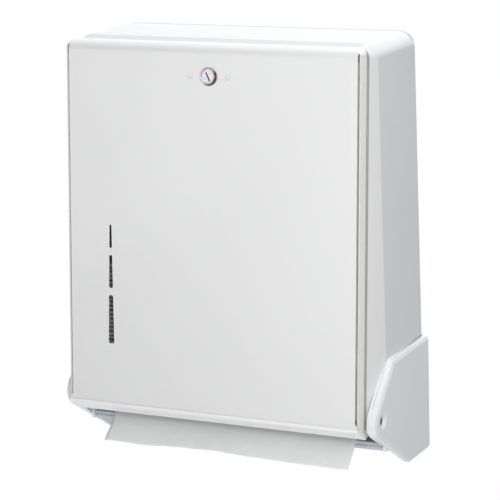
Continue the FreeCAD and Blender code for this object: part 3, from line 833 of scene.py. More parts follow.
def mark_edges(bm: bmesh.types.BMesh, width: float, rule: EdgeRule) -> float:
    """Gives each edge of a merged mesh its bevel weight, and marks it smooth or sharp.

    Args:
        bm: The merged mesh.
        width: Width of the round on each sharp edge.
        rule: Gives an edge another width, 0 to leave it as it is, or None for the usual choice.

    Returns:
        The widest round, which stands for a weight of 1.
    """
    weight = bm.edges.layers.float.get("bevel_weight_edge") or bm.edges.layers.float.new("bevel_weight_edge")
    widths = {}
    for edge in bm.edges:
        wanted = rule(edge)
        if wanted is None:
            wanted = width if len(edge.link_faces) == 2 and edge.calc_face_angle() > SHARP_ANGLE else 0.0
            edge.smooth = True
        else:
            edge.smooth = wanted > 0.0 or edge.calc_face_angle(0.0) < SHARP_ANGLE
        if wanted:
            widths[edge] = wanted
    widest = max(widths.values(), default=width)
    for edge, wanted in widths.items():
        edge[weight] = wanted / widest
    return widest


def eased_copy(node: str, name: str, body: Body, finish: Finish, width: float, rule: EdgeRule = every_edge,
               relay: MeshRule = as_packed) -> bpy.types.Object:
    """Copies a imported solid's mesh, joins its triangles, rounds its sharp edges and dresses it.

    Args:
        node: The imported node, which the copy replaces.
        name: The new piece's name.
        body: Body that it rides on.
        finish: Its finish.
        width: Width of the round on each sharp edge.
        rule: Gives an edge another width, 0 to leave it as it is, or None for the usual choice.
        relay: Changes how the merged mesh is divided, before its flat faces are joined.

    Returns:
        The new object, with live Bevel and Weighted Normal modifiers.
    """
    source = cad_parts[node].data.copy()
    for layer in [a for a in source.attributes if a.name == "custom_normal"]:
        source.attributes.remove(layer)
    bm = bmesh.new()
    bm.from_mesh(source)
    bmesh.ops.remove_doubles(bm, verts=bm.verts, dist=MERGE_DISTANCE)
    relay(bm)
    bmesh.ops.dissolve_limit(bm, angle_limit=FLAT_ANGLE, use_dissolve_boundaries=False,
                             verts=bm.verts, edges=bm.edges)
    widest = mark_edges(bm, width, rule)
    for face in bm.faces:
        face.smooth = True
    piece = keep_mesh(bm, name)
    bpy.data.meshes.remove(source)
    bevel = piece.modifiers.new("eased_edges", "BEVEL")
    bevel.limit_method = "WEIGHT"
    bevel.width = widest
    bevel.segments = EASE_STEPS
    bevel.use_clamp_overlap = False
    normals = piece.modifiers.new("flat_shading", "WEIGHTED_NORMAL")
    normals.keep_sharp = True
    return dress(piece, body, finish, node)


def dress(piece: bpy.types.Object, body: Body, finish: Finish, *nodes: str) -> bpy.types.Object:
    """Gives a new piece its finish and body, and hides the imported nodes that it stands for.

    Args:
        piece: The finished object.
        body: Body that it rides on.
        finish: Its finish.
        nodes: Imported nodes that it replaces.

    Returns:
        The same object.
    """
    piece.data.materials.clear()
    piece.data.materials.append(finish.material())
    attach(piece, body.value)
    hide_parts(*nodes)
    log.info("%s rides on %s in %s", piece.name, body.value, finish.slot.value)
    return piece


def paint_node(node: str, finish: Finish) -> None:
    """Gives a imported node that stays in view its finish.

    Args:
        node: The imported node.
        finish: Its finish.
    """
    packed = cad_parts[node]
    for slot in packed.material_slots:
        slot.material = finish.material()
    log.info("%s keeps its shape, in %s", node, finish.slot.value)


# ---- geometry node helpers -------------------------------------------------------------
class Shape(Enum):
    """Socket types of a geometry node tree."""

    MESH = "NodeSocketGeometry"
    LENGTH = "NodeSocketFloat"
    COUNT = "NodeSocketInt"
    FINISH = "NodeSocketMaterial"


def open_shape(name: str, inputs: dict[str, Shape]) -> tuple[Wiring, bpy.types.Node, bpy.types.Node]:
    """Starts a geometry node tree with named inputs.

    Args:
        name: The tree's name.
        inputs: Kind of each input, by name.

    Returns:
        The wiring of the tree, its input node and its output node.
    """
    tree = bpy.data.node_groups.new(name, "GeometryNodeTree")
    tree.interface.new_socket("Geometry", in_out="INPUT", socket_type=Shape.MESH.value)
    for label, kind in inputs.items():
        tree.interface.new_socket(label, in_out="INPUT", socket_type=kind.value)
    tree.interface.new_socket("Geometry", in_out="OUTPUT", socket_type=Shape.MESH.value)
    wiring = Wiring(tree)
    return wiring, wiring.add("NodeGroupInput"), wiring.add("NodeGroupOutput")


def grow(name: str, tree: bpy.types.NodeTree, start: bpy.types.Mesh,
         values: dict[str, object]) -> bpy.types.Object:
    """Runs a geometry node tree once and keeps its result as a plain mesh.

    Args:
        name: The new piece's name.
        tree: The tree, whose inputs are set by identifier.
        start: Mesh that the tree starts from.
        values: Inputs by name.

    Returns:
        An object with the plain mesh and no modifier.
    """
    host = bpy.data.objects.new(name, start)
    bpy.context.scene.collection.objects.link(host)
    modifier = host.modifiers.new("grow", "NODES")
    modifier.node_group = tree
    for item in tree.interface.items_tree:
        if item.item_type == "SOCKET" and item.in_out == "INPUT" and item.name in values:
            modifier[item.identifier] = values[item.name]
    graph = bpy.context.evaluated_depsgraph_get()
    mesh = bpy.data.meshes.new_from_object(host.evaluated_get(graph))
    mesh.name = name
    host.modifiers.remove(modifier)
    host.data = mesh
    return host


def point_mesh(name: str, places: list[Point], ways: list[Point]) -> bpy.types.Mesh:
    """Makes loose points that each carry a direction.

    Args:
        name: The mesh's name.
        places: Where each point is.
        ways: Direction that each fastener's head faces.

    Returns:
        The mesh, with the directions in an attribute.
    """
    mesh = bpy.data.meshes.new(name)
    mesh.from_pydata(places, [], [])
    way = mesh.attributes.new("way", "FLOAT_VECTOR", "POINT")
    way.data.foreach_set("vector", [c for direction in ways for c in direction])
    return mesh


@lru_cache(maxsize=None)
def fastener_tree() -> bpy.types.NodeTree:
    """Builds the tree that sets one fastener on each point, facing the point's direction.

    Returns:
        Tree whose fastener has a chamfered head, a shank behind it and a stud's end in front.
    """
    wiring, given, out = open_shape("fasteners", {
        "Sides": Shape.COUNT, "Head Radius": Shape.LENGTH, "Head Height": Shape.LENGTH,
        "Crown": Shape.LENGTH, "Shank Radius": Shape.LENGTH, "Shank Length": Shape.LENGTH,
        "Stud Radius": Shape.LENGTH, "Stud Height": Shape.LENGTH, "Finish": Shape.FINISH})
    get = given.outputs
    shoulder = wiring.times(get["Head Height"], BELOW_CHAMFER)
    base = wiring.add("GeometryNodeMeshCone", {
        "Vertices": get["Sides"], "Radius Top": get["Head Radius"], "Radius Bottom": get["Head Radius"],
        "Depth": shoulder}).outputs[0]
    crown = wiring.add("GeometryNodeMeshCone", {
        "Vertices": get["Sides"], "Radius Top": wiring.times(get["Head Radius"], get["Crown"]),
        "Radius Bottom": get["Head Radius"],
        "Depth": wiring.times(get["Head Height"], 1.0 - BELOW_CHAMFER)}).outputs[0]
    crown = wiring.moved(crown, wiring.xyz(z=shoulder))
    shank = wiring.add("GeometryNodeMeshCylinder", {
        "Vertices": ROUND_SIDES, "Radius": get["Shank Radius"], "Depth": get["Shank Length"]}).outputs[0]
    shank = wiring.moved(shank, wiring.xyz(z=wiring.times(get["Shank Length"], -0.5)))
    stud = wiring.add("GeometryNodeMeshCone", {
        "Vertices": ROUND_SIDES, "Radius Top": wiring.times(get["Stud Radius"], STUD_TAPER),
        "Radius Bottom": get["Stud Radius"], "Depth": get["Stud Height"]}).outputs[0]
    stud = wiring.moved(stud, wiring.xyz(z=get["Head Height"]))
    whole = wiring.add("GeometryNodeJoinGeometry")
    for part in (base, crown, shank, stud):
        wiring.feed(whole.inputs[0], part)
    way = wiring.add("GeometryNodeInputNamedAttribute", {"Name": "way"}, data_type="FLOAT_VECTOR").outputs[0]
    turn = wiring.add("FunctionNodeAlignRotationToVector", {"Vector": way}, axis="Z").outputs[0]
    placed = wiring.add("GeometryNodeInstanceOnPoints", {
        "Points": get["Geometry"], "Instance": whole.outputs[0], "Rotation": turn}).outputs[0]
    real = wiring.add("GeometryNodeRealizeInstances", {"Geometry": placed}).outputs[0]
    done = wiring.add("GeometryNodeSetMaterial", {"Geometry": real, "Material": get["Finish"]}).outputs[0]
    wiring.feed(out.inputs[0], done)
    return wiring.tree


@lru_cache(maxsize=None)
def folded_stack_tree() -> bpy.types.NodeTree:
    """Builds the tree for a pile of folded towels with soft, uneven folds.

    Returns:
        Tree with inputs for the number of leaves, their sizes and the seed.
    """
    wiring, given, out = open_shape("folded_stack", {
        "Leaves": Shape.COUNT, "Pitch": Shape.LENGTH, "Length": Shape.LENGTH, "Depth": Shape.LENGTH,
        "Thickness": Shape.LENGTH, "Base": Shape.LENGTH, "Middle": Shape.LENGTH, "Unevenness": Shape.LENGTH,
        "Waviness": Shape.LENGTH, "Seed": Shape.COUNT, "Finish": Shape.FINISH,
        "Lower Leaves": Shape.COUNT, "Refill Shift": Shape.LENGTH, "Refill Gap": Shape.LENGTH})
    get = given.outputs
    half = wiring.times(get["Length"], 0.5)
    line = wiring.add("GeometryNodeCurvePrimitiveLine", {
        "Start": wiring.xyz(x=wiring.times(half, -1.0)), "End": wiring.xyz(x=half)}).outputs[0]
    line = wiring.add("GeometryNodeResampleCurve", {"Curve": line, "Count": LEAF_SECTIONS}).outputs[0]
    section = wiring.add("GeometryNodeCurvePrimitiveQuadrilateral", {
        "Width": get["Depth"], "Height": get["Thickness"]}).outputs[0]
    section = wiring.add("GeometryNodeFilletCurve", {
        "Curve": section, "Radius": wiring.times(get["Thickness"], FOLD_ROUND), "Count": 3},
        mode="POLY").outputs[0]
    leaf = wiring.add("GeometryNodeCurveToMesh", {
        "Curve": line, "Profile Curve": section, "Fill Caps": True}).outputs[0]
    first = wiring.math("ADD", get["Base"], wiring.times(get["Pitch"], 0.5))
    row = wiring.add("GeometryNodeMeshLine", {
        "Count": get["Leaves"], "Start Location": wiring.xyz(y=get["Middle"], z=first),
        "Offset": wiring.xyz(z=get["Pitch"])}).outputs[0]
    slack = wiring.xyz(wiring.times(get["Unevenness"], 0.5), get["Unevenness"])
    shift = wiring.add("FunctionNodeRandomValue", {
        0: wiring.scaled(slack, -1.0), 1: slack, "Seed": get["Seed"]}, data_type="FLOAT_VECTOR").outputs[0]
    row = wiring.shifted(row, shift)
    index = wiring.add("GeometryNodeInputIndex").outputs[0]
    upper = wiring.math("GREATER_THAN", index, wiring.math("SUBTRACT", get["Lower Leaves"], 0.5))
    refill = wiring.xyz(y=get["Refill Shift"], z=get["Refill Gap"])
    row = wiring.shifted(row, wiring.scaled(refill, upper))
    pile = wiring.add("GeometryNodeInstanceOnPoints", {"Points": row, "Instance": leaf}).outputs[0]
    pile = wiring.add("GeometryNodeRealizeInstances", {"Geometry": pile}).outputs[0]
    place = wiring.add("GeometryNodeInputPosition").outputs[0]
    ripple = wiring.add("ShaderNodeTexNoise", {
        "Vector": place, "Scale": RIPPLE_SCALE, "Detail": 1.0}).outputs["Color"]
    centred = wiring.vector("SUBTRACT", ripple, (0.5, 0.5, 0.5)).outputs[0]
    pile = wiring.shifted(pile, wiring.scaled(centred, get["Waviness"]))
    pile = wiring.add("GeometryNodeSetShadeSmooth", {"Geometry": pile}).outputs[0]
    done = wiring.add("GeometryNodeSetMaterial", {"Geometry": pile, "Material": get["Finish"]}).outputs[0]
    wiring.feed(out.inputs[0], done)
    return wiring.tree


@dataclass
class FastenerSet:
    """Like fasteners that lie on one body."""

    name: str
    body: Body
    finish: Finish
    node: str
    places: list[Point]
    ways: list[Point]
    head_radius: float
    head_height: float
    shank_radius: float
    shank_length: float
    sides: int = 28
    crown: float = 0.72
    stud_radius: float = 0.4 * MM
    stud_height: float = 0.05 * MM

    def build(self) -> bpy.types.Object:
        """Sets one fastener at each place.

        Returns:
            One mesh with all of them.
        """
        values = {"Sides": self.sides, "Head Radius": self.head_radius, "Head Height": self.head_height,
                  "Crown": self.crown, "Shank Radius": self.shank_radius, "Shank Length": self.shank_length,
                  "Stud Radius": self.stud_radius, "Stud Height": self.stud_height,
                  "Finish": self.finish.material()}
        piece = grow(self.name, fastener_tree(), point_mesh(self.name, self.places, self.ways), values)
        return dress(piece, self.body, self.finish, self.node)


# ---- cabinet --------------------------------------------------------------------------
@dataclass
class CabinetShell:
    """The moulded cabinet: straight sides, a crease, and a tapered front."""

    crease_y: float = -80.8 * MM
    crease_round: float = 1.3 * MM
    edge_round: float = 0.55 * MM
    near: float = 0.02 * MM
    corner_x: float = 125.0 * MM
    corner_z: float = 150.0 * MM
    taper_across: float = 0.97
    taper_lean: Span = (0.12, 0.24)
    corner_across: float = 0.5
    corner_lean: float = 0.4

    def on_crease(self, vert: bmesh.types.BMVert) -> bool:
        """Whether a vertex lies where the sides turn into the taper."""
        return abs(vert.co.y - self.crease_y) < self.near

    def crease(self, edge: bmesh.types.BMEdge) -> float | None:
        """Width of the round where the sides turn into the taper.

        Args:
            edge: An edge of the shell.

        Returns:
            The crease's width, or None for other edges.
        """
        outside = all(map(self.on_crease, edge.verts)) and edge.calc_face_angle_signed(0.0) > FLAT_ANGLE
        return self.crease_round if outside else None

    def relay(self, bm: bmesh.types.BMesh) -> None:
        """Lays the tapered corners as strips and each tapered side as one face.

        Args:
            bm: The merged mesh of the cabinet.
        """
        walls = [(side, facing) for side in (1.0, -1.0) for facing in (1.0, -1.0)]
        for side, facing in walls:
            self.strip_corner(bm, side, facing)
        bm.normal_update()
        for side, facing in walls:
            taper = [face for face in bm.faces if self.on_taper(face, side, facing)]
            if taper:
                bmesh.ops.dissolve_faces(bm, faces=taper, use_verts=False)
        bm.normal_update()

    def in_front(self, vert: bmesh.types.BMVert, side: float) -> bool:
        """Whether a vertex lies on one side, from the crease forwards."""
        return vert.co.y < self.crease_y + self.near and vert.co.x * side > self.corner_x

    def on_taper(self, face: bmesh.types.BMFace, side: float, facing: float) -> bool:
        """Whether a face belongs to a tapered side.

        Args:
            face: The face.
            side: 1 for the right, -1 for the left.
            facing: 1 for outside, -1 for inside.

        Returns:
            True for the tapered part in front of the crease.
        """
        lean = face.normal * facing
        low, high = self.taper_lean
        turned = lean.x * side > self.taper_across and low < -lean.y < high
        return turned and all(self.in_front(v, side) for v in face.verts)

    def on_corner(self, face: bmesh.types.BMFace, side: float, facing: float) -> bool:
        """Whether a face belongs to a tapered upper corner.

        Args:
            face: The face.
            side: 1 for the right, -1 for the left.
            facing: 1 for outside, -1 for inside.

        Returns:
            True for the corner's faces in front of the crease.
        """
        lean = face.normal * facing
        turned = lean.x * side + lean.z > self.corner_across and -self.corner_lean < lean.y < 0.0
        return turned and all(self.in_front(v, side) and v.co.z > self.corner_z for v in face.verts)

    def strip_corner(self, bm: bmesh.types.BMesh, side: float, facing: float) -> None:
        """Replaces the triangles of a tapered corner by strips from crease to rim.

        Args:
            bm: The merged mesh of the cabinet.
            side: 1 for the right, -1 for the left.
            facing: 1 for outside, -1 for inside.
        """
        inside = [face for face in bm.faces if self.on_corner(face, side, facing)]
        chosen = set(inside)
        border = {v for face in inside for edge in face.edges
                  if sum(other in chosen for other in edge.link_faces) == 1 for v in edge.verts}
        rear = sorted((v for v in border if self.on_crease(v)), key=lambda v: v.co.x * side - v.co.z)
        front = sorted((v for v in border if not self.on_crease(v)), key=lambda v: v.co.x * side - v.co.z)
        if len(rear) < 3 or len(rear) != len(front):
            log.info("corner %s %s keeps its triangles: %d and %d", side, facing, len(rear), len(front))
            return
        bmesh.ops.delete(bm, geom=inside, context="FACES")
        for a, b, c, d in zip(rear, rear[1:], front[1:], front):
            ring = (a, b, c, d) if side * facing > 0 else (d, c, b, a)
            bm.faces.new(ring)

    def build(self) -> None:
        """Builds the shell with its soft crease and crisp rim."""
        eased_copy("cabinet_body", "cabinet_shell", Body.CABINET, FINISHES.shell, self.edge_round,
                   self.crease, self.relay)


@dataclass
class TowelTray:
    """The shelf under the towels, and its rivets."""

    edge_round: float = 0.35 * MM
    rivet_xs: tuple[float, ...] = (-110 * MM, -40 * MM, 40 * MM, 110 * MM)
    rivet_z: float = -161 * MM
    rivet_y: float = -4.1 * MM

    def build(self) -> None:
        """Builds the shelf and sets its rivets."""
        eased_copy("towel_tray", "towel_shelf", Body.CABINET, FINISHES.tray, self.edge_round)
        places = [(x, self.rivet_y, self.rivet_z) for x in self.rivet_xs]
        FastenerSet("shelf_rivets", Body.CABINET, FINISHES.zinc, "tray_rivets", places,
                    [(0.0, -1.0, 0.0)] * len(places), head_radius=3.5 * MM, head_height=1.1 * MM,
                    shank_radius=2.0 * MM, shank_length=3.4 * MM, crown=0.55).build()


@dataclass
class HingeCheeks:
    """The bevelled side covers, the brackets under them and the hinge pins."""

    edge_round: float = 0.7 * MM
    plate_round: float = 0.3 * MM
    seam_x: float = 142.8 * MM
    seam_reach: float = 0.6 * MM
    screw_sink: float = 0.15 * MM
    cover_y_z: tuple[Span, ...] = ((-22 * MM, -120 * MM), (-60 * MM, -160 * MM))
    side_half_top: float = 140.3 * MM
    side_half_foot: float = 143.9 * MM
    top_z: float = 168.3 * MM
    height: float = 368.3 * MM
    wall: float = 2.6 * MM

    def seam_rule(self, edge: bmesh.types.BMEdge) -> float | None:
        """Keeps the edges where a cover meets its bracket sharp."""
        on_seam = all(abs(abs(v.co.x) - self.seam_x) < self.seam_reach for v in edge.verts)
        return 0.0 if on_seam else None

    def inner_x(self, z: float) -> float:
        """Half-width of the cabinet's inner side at height z."""
        share = (self.top_z - z) / self.height
        return self.side_half_top + (self.side_half_foot - self.side_half_top) * share - self.wall

    def build(self) -> None:
        """Builds covers, brackets, pins and their screws on both sides."""
        for side in ("right", "left"):
            eased_copy(f"{side}_cheek_cover", f"{side}_cover", Body.CABINET, FINISHES.cheek,
                       self.edge_round, self.seam_rule)
            eased_copy(f"{side}_hinge_bracket", f"{side}_bracket", Body.CABINET, FINISHES.cheek,
                       self.plate_round, self.seam_rule)
            eased_copy(f"{side}_hinge_pin", f"{side}_pin", Body.CABINET, FINISHES.pin, self.plate_round)
        paint_node("hinge_clips", FINISHES.zinc)
        places, ways = [], []
        for sign in (1.0, -1.0):
            for y, z in self.cover_y_z:
                places.append((sign * (self.inner_x(z) - self.screw_sink), y, z))
                ways.append((-sign, 0.0, 0.0))
        FastenerSet("cover_screws", Body.CABINET, FINISHES.zinc, "cheek_screws", places, ways,
                    head_radius=3.3 * MM, head_height=1.8 * MM, shank_radius=1.5 * MM,
                    shank_length=5.0 * MM, crown=0.7).build()


@dataclass
class Strike:
    """The steel angle under the top that the lock's cam hooks behind."""

    edge_round: float = 0.3 * MM
    screw_x: float = 14 * MM
    screw_y: float = -83 * MM
    screw_z: float = 158.2 * MM

    def build(self) -> None:
        """Builds the angle and its two screws."""
        eased_copy("lock_strike", "strike_angle", Body.CABINET, FINISHES.zinc, self.edge_round)
        places = [(sign * self.screw_x, self.screw_y, self.screw_z) for sign in (-1.0, 1.0)]
        FastenerSet("angle_screws", Body.CABINET, FINISHES.zinc, "strike_screws", places,
                    [(0.0, 0.0, -1.0)] * 2, head_radius=3.1 * MM, head_height=1.9 * MM,
                    shank_radius=1.5 * MM, shank_length=5.9 * MM, crown=0.7).build()


# ---- door -----------------------------------------------------------------------------
@dataclass
class Door:
    """The steel skin, its moulded rails and sill, and what holds them together."""

    skin_edge: float = 0.22 * MM
    rail_edge: float = 0.4 * MM
    sill_edge: float = 0.45 * MM
    nut_xs: Span = (-127.5 * MM, 127.5 * MM)
    nut_zs: tuple[float, ...] = (-110 * MM, 0.0, 110 * MM)
    lip_x: float = 136.2 * MM
    nut_seat: float = 5.85 * MM
    step_x: float = 134.75 * MM
    cap_z: float = 150.0 * MM
    cap_rear_y: float = -97.0 * MM
    near: float = 0.03 * MM

    def rail_rule(self, edge: bmesh.types.BMEdge) -> float | None:
        """Keeps the groove's lip, the cap's inner step and the cap's hidden rear end sharp.

        Args:
            edge: An edge of a rail.

        Returns:
            0 for those edges, or None for others.
        """
        along = any(all(abs(abs(v.co.x) - x) < self.near for v in edge.verts)
                    for x in (self.step_x, self.lip_x))
        at_rear = all(v.co.z > self.cap_z and v.co.y > self.cap_rear_y for v in edge.verts)
        return 0.0 if along or at_rear else None

    def face_y(self, z: float) -> float:
        """Depth of the leaning face at height z."""
        return FACE_AT_ZERO + z * LEAN

    def build(self) -> None:
        """Builds skin, rails, sill and fasteners."""
        eased_copy("front_panel", "front_skin", Body.DOOR, FINISHES.enamel, self.skin_edge)
        for side in ("right", "left"):
            eased_copy(f"{side}_door_rail", f"{side}_rail", Body.DOOR, FINISHES.rail, self.rail_edge,
                       self.rail_rule)
        eased_copy("door_chin", "door_sill", Body.DOOR, FINISHES.sill, self.sill_edge)
        paint_node("hinge_bushes", FINISHES.acetal)
        paint_node("lock_bracket", FINISHES.zinc)
        inward = Vector((0.0, 1.0, -LEAN)).normalized()
        places = [tuple(Vector((x, self.face_y(z), z)) + inward * self.nut_seat)
                  for x in self.nut_xs for z in self.nut_zs]
        FastenerSet("rail_lock_nuts", Body.DOOR, FINISHES.zinc, "rail_nuts", places,
                    [tuple(inward)] * len(places), head_radius=3.15 * MM, head_height=2.35 * MM,
                    shank_radius=1.4 * MM, shank_length=0.5 * MM, sides=6, crown=0.86,
                    stud_radius=1.45 * MM, stud_height=0.7 * MM).build()


@dataclass
class Lock:
    """The key lock: collar and barrel on the door, plug, cam and screw that turn."""

    edge_round: float = 0.25 * MM
    plug_round: float = 0.15 * MM

    def build(self) -> None:
        """Builds the lock's pieces on their two bodies."""
        eased_copy("lock_barrel", "barrel", Body.DOOR, FINISHES.collar, self.edge_round)
        eased_copy("lock_nut", "barrel_nut", Body.DOOR, FINISHES.zinc, self.edge_round)
        eased_copy("lock_plug", "plug", Body.LOCK, FINISHES.plug, self.plug_round)
        eased_copy("lock_cam", "cam", Body.LOCK, FINISHES.zinc, self.edge_round)
        eased_copy("cam_screw", "cam_head_screw", Body.LOCK, FINISHES.zinc, self.edge_round)


# ---- towels ---------------------------------------------------------------------------
@dataclass
class Towels:
    """Two refills of folded towels and the free end that hangs out of the throat."""

    half_length: float = 117.5 * MM
    stack_front: float = -85.0 * MM
    stack_rear: float = -6.0 * MM
    stack_base: float = PILE_BASE
    pitch: float = FOLD_PITCH
    leaves: int = FOLDS
    lower_leaves: int = 9
    refill_shift: float = -19.0 * MM
    refill_gap: float = REFILL_GAP
    leaf_overlap: float = 1.02
    unevenness: float = 0.5 * MM
    waviness: float = 0.5 * MM
    seed: int = 7
    thickness: float = 0.45 * MM
    path: tuple[Span, ...] = (
        (-84.4 * MM, -165.2 * MM), (-87.4 * MM, -168.4 * MM), (-90.6 * MM, -172.0 * MM),
        (-93.9 * MM, -176.4 * MM), (-98.6 * MM, -181.0 * MM), (-104.0 * MM, -185.6 * MM),
        (-109.1 * MM, -189.9 * MM))
    edge_bumps: tuple[Point, ...] = ((2.0, -0.2, 0.32), (-0.9, -0.7, 0.16), (-0.9, 0.86, 0.14))
    waves: tuple[Point, ...] = ((0.55, 7.1, 0.8), (0.35, 15.3, 2.1))
    side_wave: float = 0.3 * MM
    side_turns: float = 9.0
    rows: int = 22
    columns: int = 72

    def build(self) -> None:
        """Builds the pile and the hanging end."""
        self.build_pile()
        self.build_end()

    def build_pile(self) -> None:
        """Grows the pile from its leaf count and sizes."""
        slack = self.unevenness + self.waviness
        values = {"Leaves": self.leaves, "Pitch": self.pitch, "Length": 2 * (self.half_length - slack),
                  "Depth": self.stack_rear - self.stack_front - 2 * slack,
                  "Thickness": self.pitch * self.leaf_overlap, "Lower Leaves": self.lower_leaves,
                  "Refill Shift": self.refill_shift, "Refill Gap": self.refill_gap, "Base": self.stack_base,
                  "Middle": (self.stack_rear + self.stack_front) / 2, "Unevenness": self.unevenness,
                  "Waviness": self.waviness, "Seed": self.seed, "Finish": FINISHES.pile.material()}
        pile = grow("towel_pile", folded_stack_tree(), bpy.data.meshes.new("towel_pile"), values)
        dress(pile, Body.CABINET, FINISHES.pile, "towel_stack")

    def along(self, share: float) -> tuple[Vector, Vector]:
        """Point and outward normal on the towel's smooth side view.

        Args:
            share: 0 at the pile, 1 at the free edge.

        Returns:
            The point and the normal, both with x = 0.
        """
        spans = len(self.path) - 1
        span = min(int(share * spans), spans - 1)
        t = share * spans - span
        a, b, c, d = (Vector((0.0, *self.path[min(max(span + k, 0), spans)])) for k in (-1, 0, 1, 2))
        square, cube = 2 * a - 5 * b + 4 * c - d, 3 * b - a - 3 * c + d
        point = 0.5 * (2 * b + (c - a) * t + square * t ** 2 + cube * t ** 3)
        slope = 0.5 * ((c - a) + 2 * square * t + 3 * cube * t ** 2)
        return point, Vector((0.0, slope.z, -slope.y)).normalized()

    def edge_lift(self, across: float) -> float:
        """How much higher than straight the free edge is.

        Args:
            across: -1 at the left edge, 1 at the right edge.

        Returns:
            The lift, negative where the edge dips.
        """
        return MM * sum(height * math.exp(-((across - middle) / width) ** 2)
                        for height, middle, width in self.edge_bumps)

    def build_end(self) -> None:
        """Builds the hanging end as a thin, gently waved sheet."""
        bm = bmesh.new()
        grid = []
        for i in range(self.rows + 1):
            share = i / self.rows
            point, normal = self.along(share)
            line = []
            for j in range(self.columns + 1):
                across = 2 * j / self.columns - 1
                wave = sum(height * math.sin(turns * across + start) for height, turns, start in self.waves)
                side = self.side_wave * math.sin(self.side_turns * share) * share
                place = point + normal * (wave * share ** 1.5 * MM)
                place.z += self.edge_lift(across) * share ** 2
                place.x = across * (self.half_length + side)
                line.append(bm.verts.new(place))
            grid.append(line)
        for upper, lower in zip(grid, grid[1:]):
            for j in range(self.columns):
                bm.faces.new((upper[j], upper[j + 1], lower[j + 1], lower[j])).smooth = True
        bmesh.ops.recalc_face_normals(bm, faces=bm.faces)
        piece = keep_mesh(bm, "hanging_end")
        paper = piece.modifiers.new("paper", "SOLIDIFY")
        paper.thickness = self.thickness
        paper.offset = 0.0
        dress(piece, Body.CABINET, FINISHES.paper, "hanging_towel")


# ---- studio ---------------------------------------------------------------------------
@dataclass(frozen=True)
class Softbox:
    """One large, soft lamp."""

    name: str
    place: Point
    size: float
    power: float
    colour: Colour = (1.0, 1.0, 1.0)
    aim: Point = (0.0, -0.06, 0.0)

    def build(self) -> None:
        """Hangs the lamp and turns it towards its aim."""
        lamp = bpy.data.lights.new(self.name, "AREA")
        lamp.shape = "DISK"
        lamp.size = self.size
        lamp.energy = self.power
        lamp.color = self.colour
        holder = bpy.data.objects.new(self.name, lamp)
        holder.location = self.place
        holder.rotation_mode = "QUATERNION"
        holder.rotation_quaternion = (Vector(self.aim) - Vector(self.place)).to_track_quat("-Z", "Y")
        holder.visible_camera = False
        bpy.context.scene.collection.objects.link(holder)


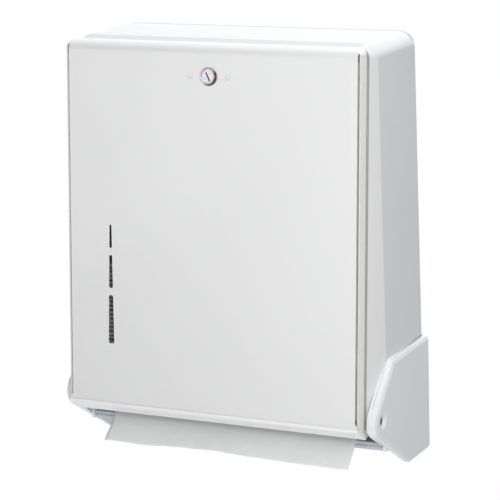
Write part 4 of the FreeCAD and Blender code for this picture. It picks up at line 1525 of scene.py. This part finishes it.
@dataclass
class Studio:
    """Camera, lamps, pale floor and white surroundings."""

    azimuth: float = 26.32
    elevation: float = 12.89
    roll: float = -1.80
    distance: float = 1.95361
    focal_pixels: float = 2249.22
    frame_pixels: float = 500.0
    sensor: float = 36.0
    target: Point = (0.0, -0.060, -0.016)
    target_right: float = 7.21 * MM
    target_up: float = -3.29 * MM
    floor_z: float = -1.2
    floor_radius: float = 3.0
    floor_fade: Span = (0.3, 0.75)
    floor_share: float = 0.72
    floor_tone: Colour = (0.86, 0.86, 0.86)
    floor_drift: Colour = (0.83, 0.83, 0.83)
    clip: Span = (0.05, 100.0)
    ambient: float = 0.30
    lamps: tuple[Softbox, ...] = (
        Softbox("top_softbox", (0.1, 0.5, 1.3), 0.8, 16.8),
        Softbox("key_softbox", (0.8, -1.28, 0.3), 0.8, 5.6),
        Softbox("left_softbox", (-0.9, -1.3, 0.2), 0.8, 2.9),
        Softbox("near_card", (0.42, -0.62, 0.16), 0.35, 1.4),
        Softbox("under_card", (0.0, -0.3, -0.95), 0.6, 1.7),
    )

    def build(self) -> None:
        """Builds everything round the cabinet."""
        self.build_camera()
        self.build_surroundings()
        self.build_floor()
        for lamp in self.lamps:
            lamp.build()
        bpy.context.scene.view_settings.view_transform = "Standard"
        log.info("studio is set")

    def build_camera(self) -> None:
        """Sets the camera at its angle, slightly rolled."""
        az, el, roll = (math.radians(v) for v in (self.azimuth, self.elevation, self.roll))
        back = Vector((math.sin(az) * math.cos(el), -math.cos(az) * math.cos(el), math.sin(el)))
        right = (-back).cross(Vector((0.0, 0.0, 1.0))).normalized()
        up = right.cross(-back).normalized()
        look = Vector(self.target) + right * self.target_right + up * self.target_up
        rolled_right = math.cos(roll) * right + math.sin(roll) * up
        rolled_up = math.cos(roll) * up - math.sin(roll) * right
        data = bpy.data.cameras.new("camera")
        data.sensor_width = self.sensor
        data.lens = self.focal_pixels / self.frame_pixels * self.sensor
        data.clip_start, data.clip_end = self.clip
        camera = bpy.data.objects.new("camera", data)
        camera.matrix_world = Matrix((rolled_right, rolled_up, back)).transposed().to_4x4()
        camera.location = look + back * self.distance
        bpy.context.scene.collection.objects.link(camera)
        bpy.context.scene.camera = camera

    def seen_directly(self, wiring: Wiring) -> bpy.types.NodeSocket:
        """Adds Light Path.

        Args:
            wiring: Wiring of the world or material.

        Returns:
            Socket that is 1 for rays from the camera, in gloss and through glass.
        """
        path = wiring.add("ShaderNodeLightPath")
        direct = wiring.math("MAXIMUM", path.outputs["Is Camera Ray"], path.outputs["Is Glossy Ray"])
        return wiring.math("MAXIMUM", direct, path.outputs["Is Transmission Ray"])

    def build_surroundings(self) -> None:
        """White where it is seen, and plain soft light on the cabinet."""
        world = bpy.data.worlds.new("surroundings")
        world.use_nodes = True
        world.node_tree.nodes.clear()
        wiring = Wiring(world.node_tree)
        soft = wiring.add("ShaderNodeBackground", {"Color": opaque(WHITE), "Strength": self.ambient})
        white = wiring.add("ShaderNodeBackground", {"Color": opaque(WHITE), "Strength": 1.0})
        both = wiring.add("ShaderNodeMixShader", {
            0: self.seen_directly(wiring), 1: soft.outputs[0], 2: white.outputs[0]})
        wiring.add("ShaderNodeOutputWorld", {"Surface": both.outputs[0]})
        bpy.context.scene.world = world

    def build_floor(self) -> None:
        """Pale floor that keeps the shadow below the cabinet and fades to white further out."""
        bm = bmesh.new()
        bmesh.ops.create_circle(bm, cap_ends=True, segments=96, radius=self.floor_radius)
        bmesh.ops.translate(bm, verts=bm.verts, vec=(0.0, 0.0, self.floor_z))
        floor = keep_mesh(bm, "floor")
        material = bpy.data.materials.new("floor_paper")
        material.use_nodes = True
        material.node_tree.nodes.clear()
        wiring = Wiring(material.node_tree)
        place = wiring.place()
        flat = wiring.vector("MULTIPLY", place, (1.0, 1.0, 0.0)).outputs[0]
        away = wiring.vector("LENGTH", flat).outputs["Value"]
        near, far = (share * self.floor_radius for share in self.floor_fade)
        fade = wiring.spread(away, near, far, self.floor_share, 1.0)
        tone = wiring.blend(wiring.noise(place, 3.0, 3.0), self.floor_tone, self.floor_drift)
        paper = wiring.add("ShaderNodeBsdfDiffuse", {"Color": tone})
        white = wiring.add("ShaderNodeEmission", {"Color": opaque(WHITE), "Strength": 1.0})
        share = wiring.times(self.seen_directly(wiring), fade)
        both = wiring.add("ShaderNodeMixShader", {0: share, 1: paper.outputs[0], 2: white.outputs[0]})
        wiring.add("ShaderNodeOutputMaterial", {"Surface": both.outputs[0]})
        floor.data.materials.append(material)


def main() -> None:
    """Builds the cabinet's sub-assemblies in order, then the studio."""
    logging.basicConfig(level=logging.INFO, format="%(name)s: %(message)s")
    for assembly in (CabinetShell(), TowelTray(), HingeCheeks(), Strike(), Door(), Lock(), Towels(), Studio()):
        log.info("building %s", type(assembly).__name__)
        assembly.build()


if __name__ == "__main__":
    main()
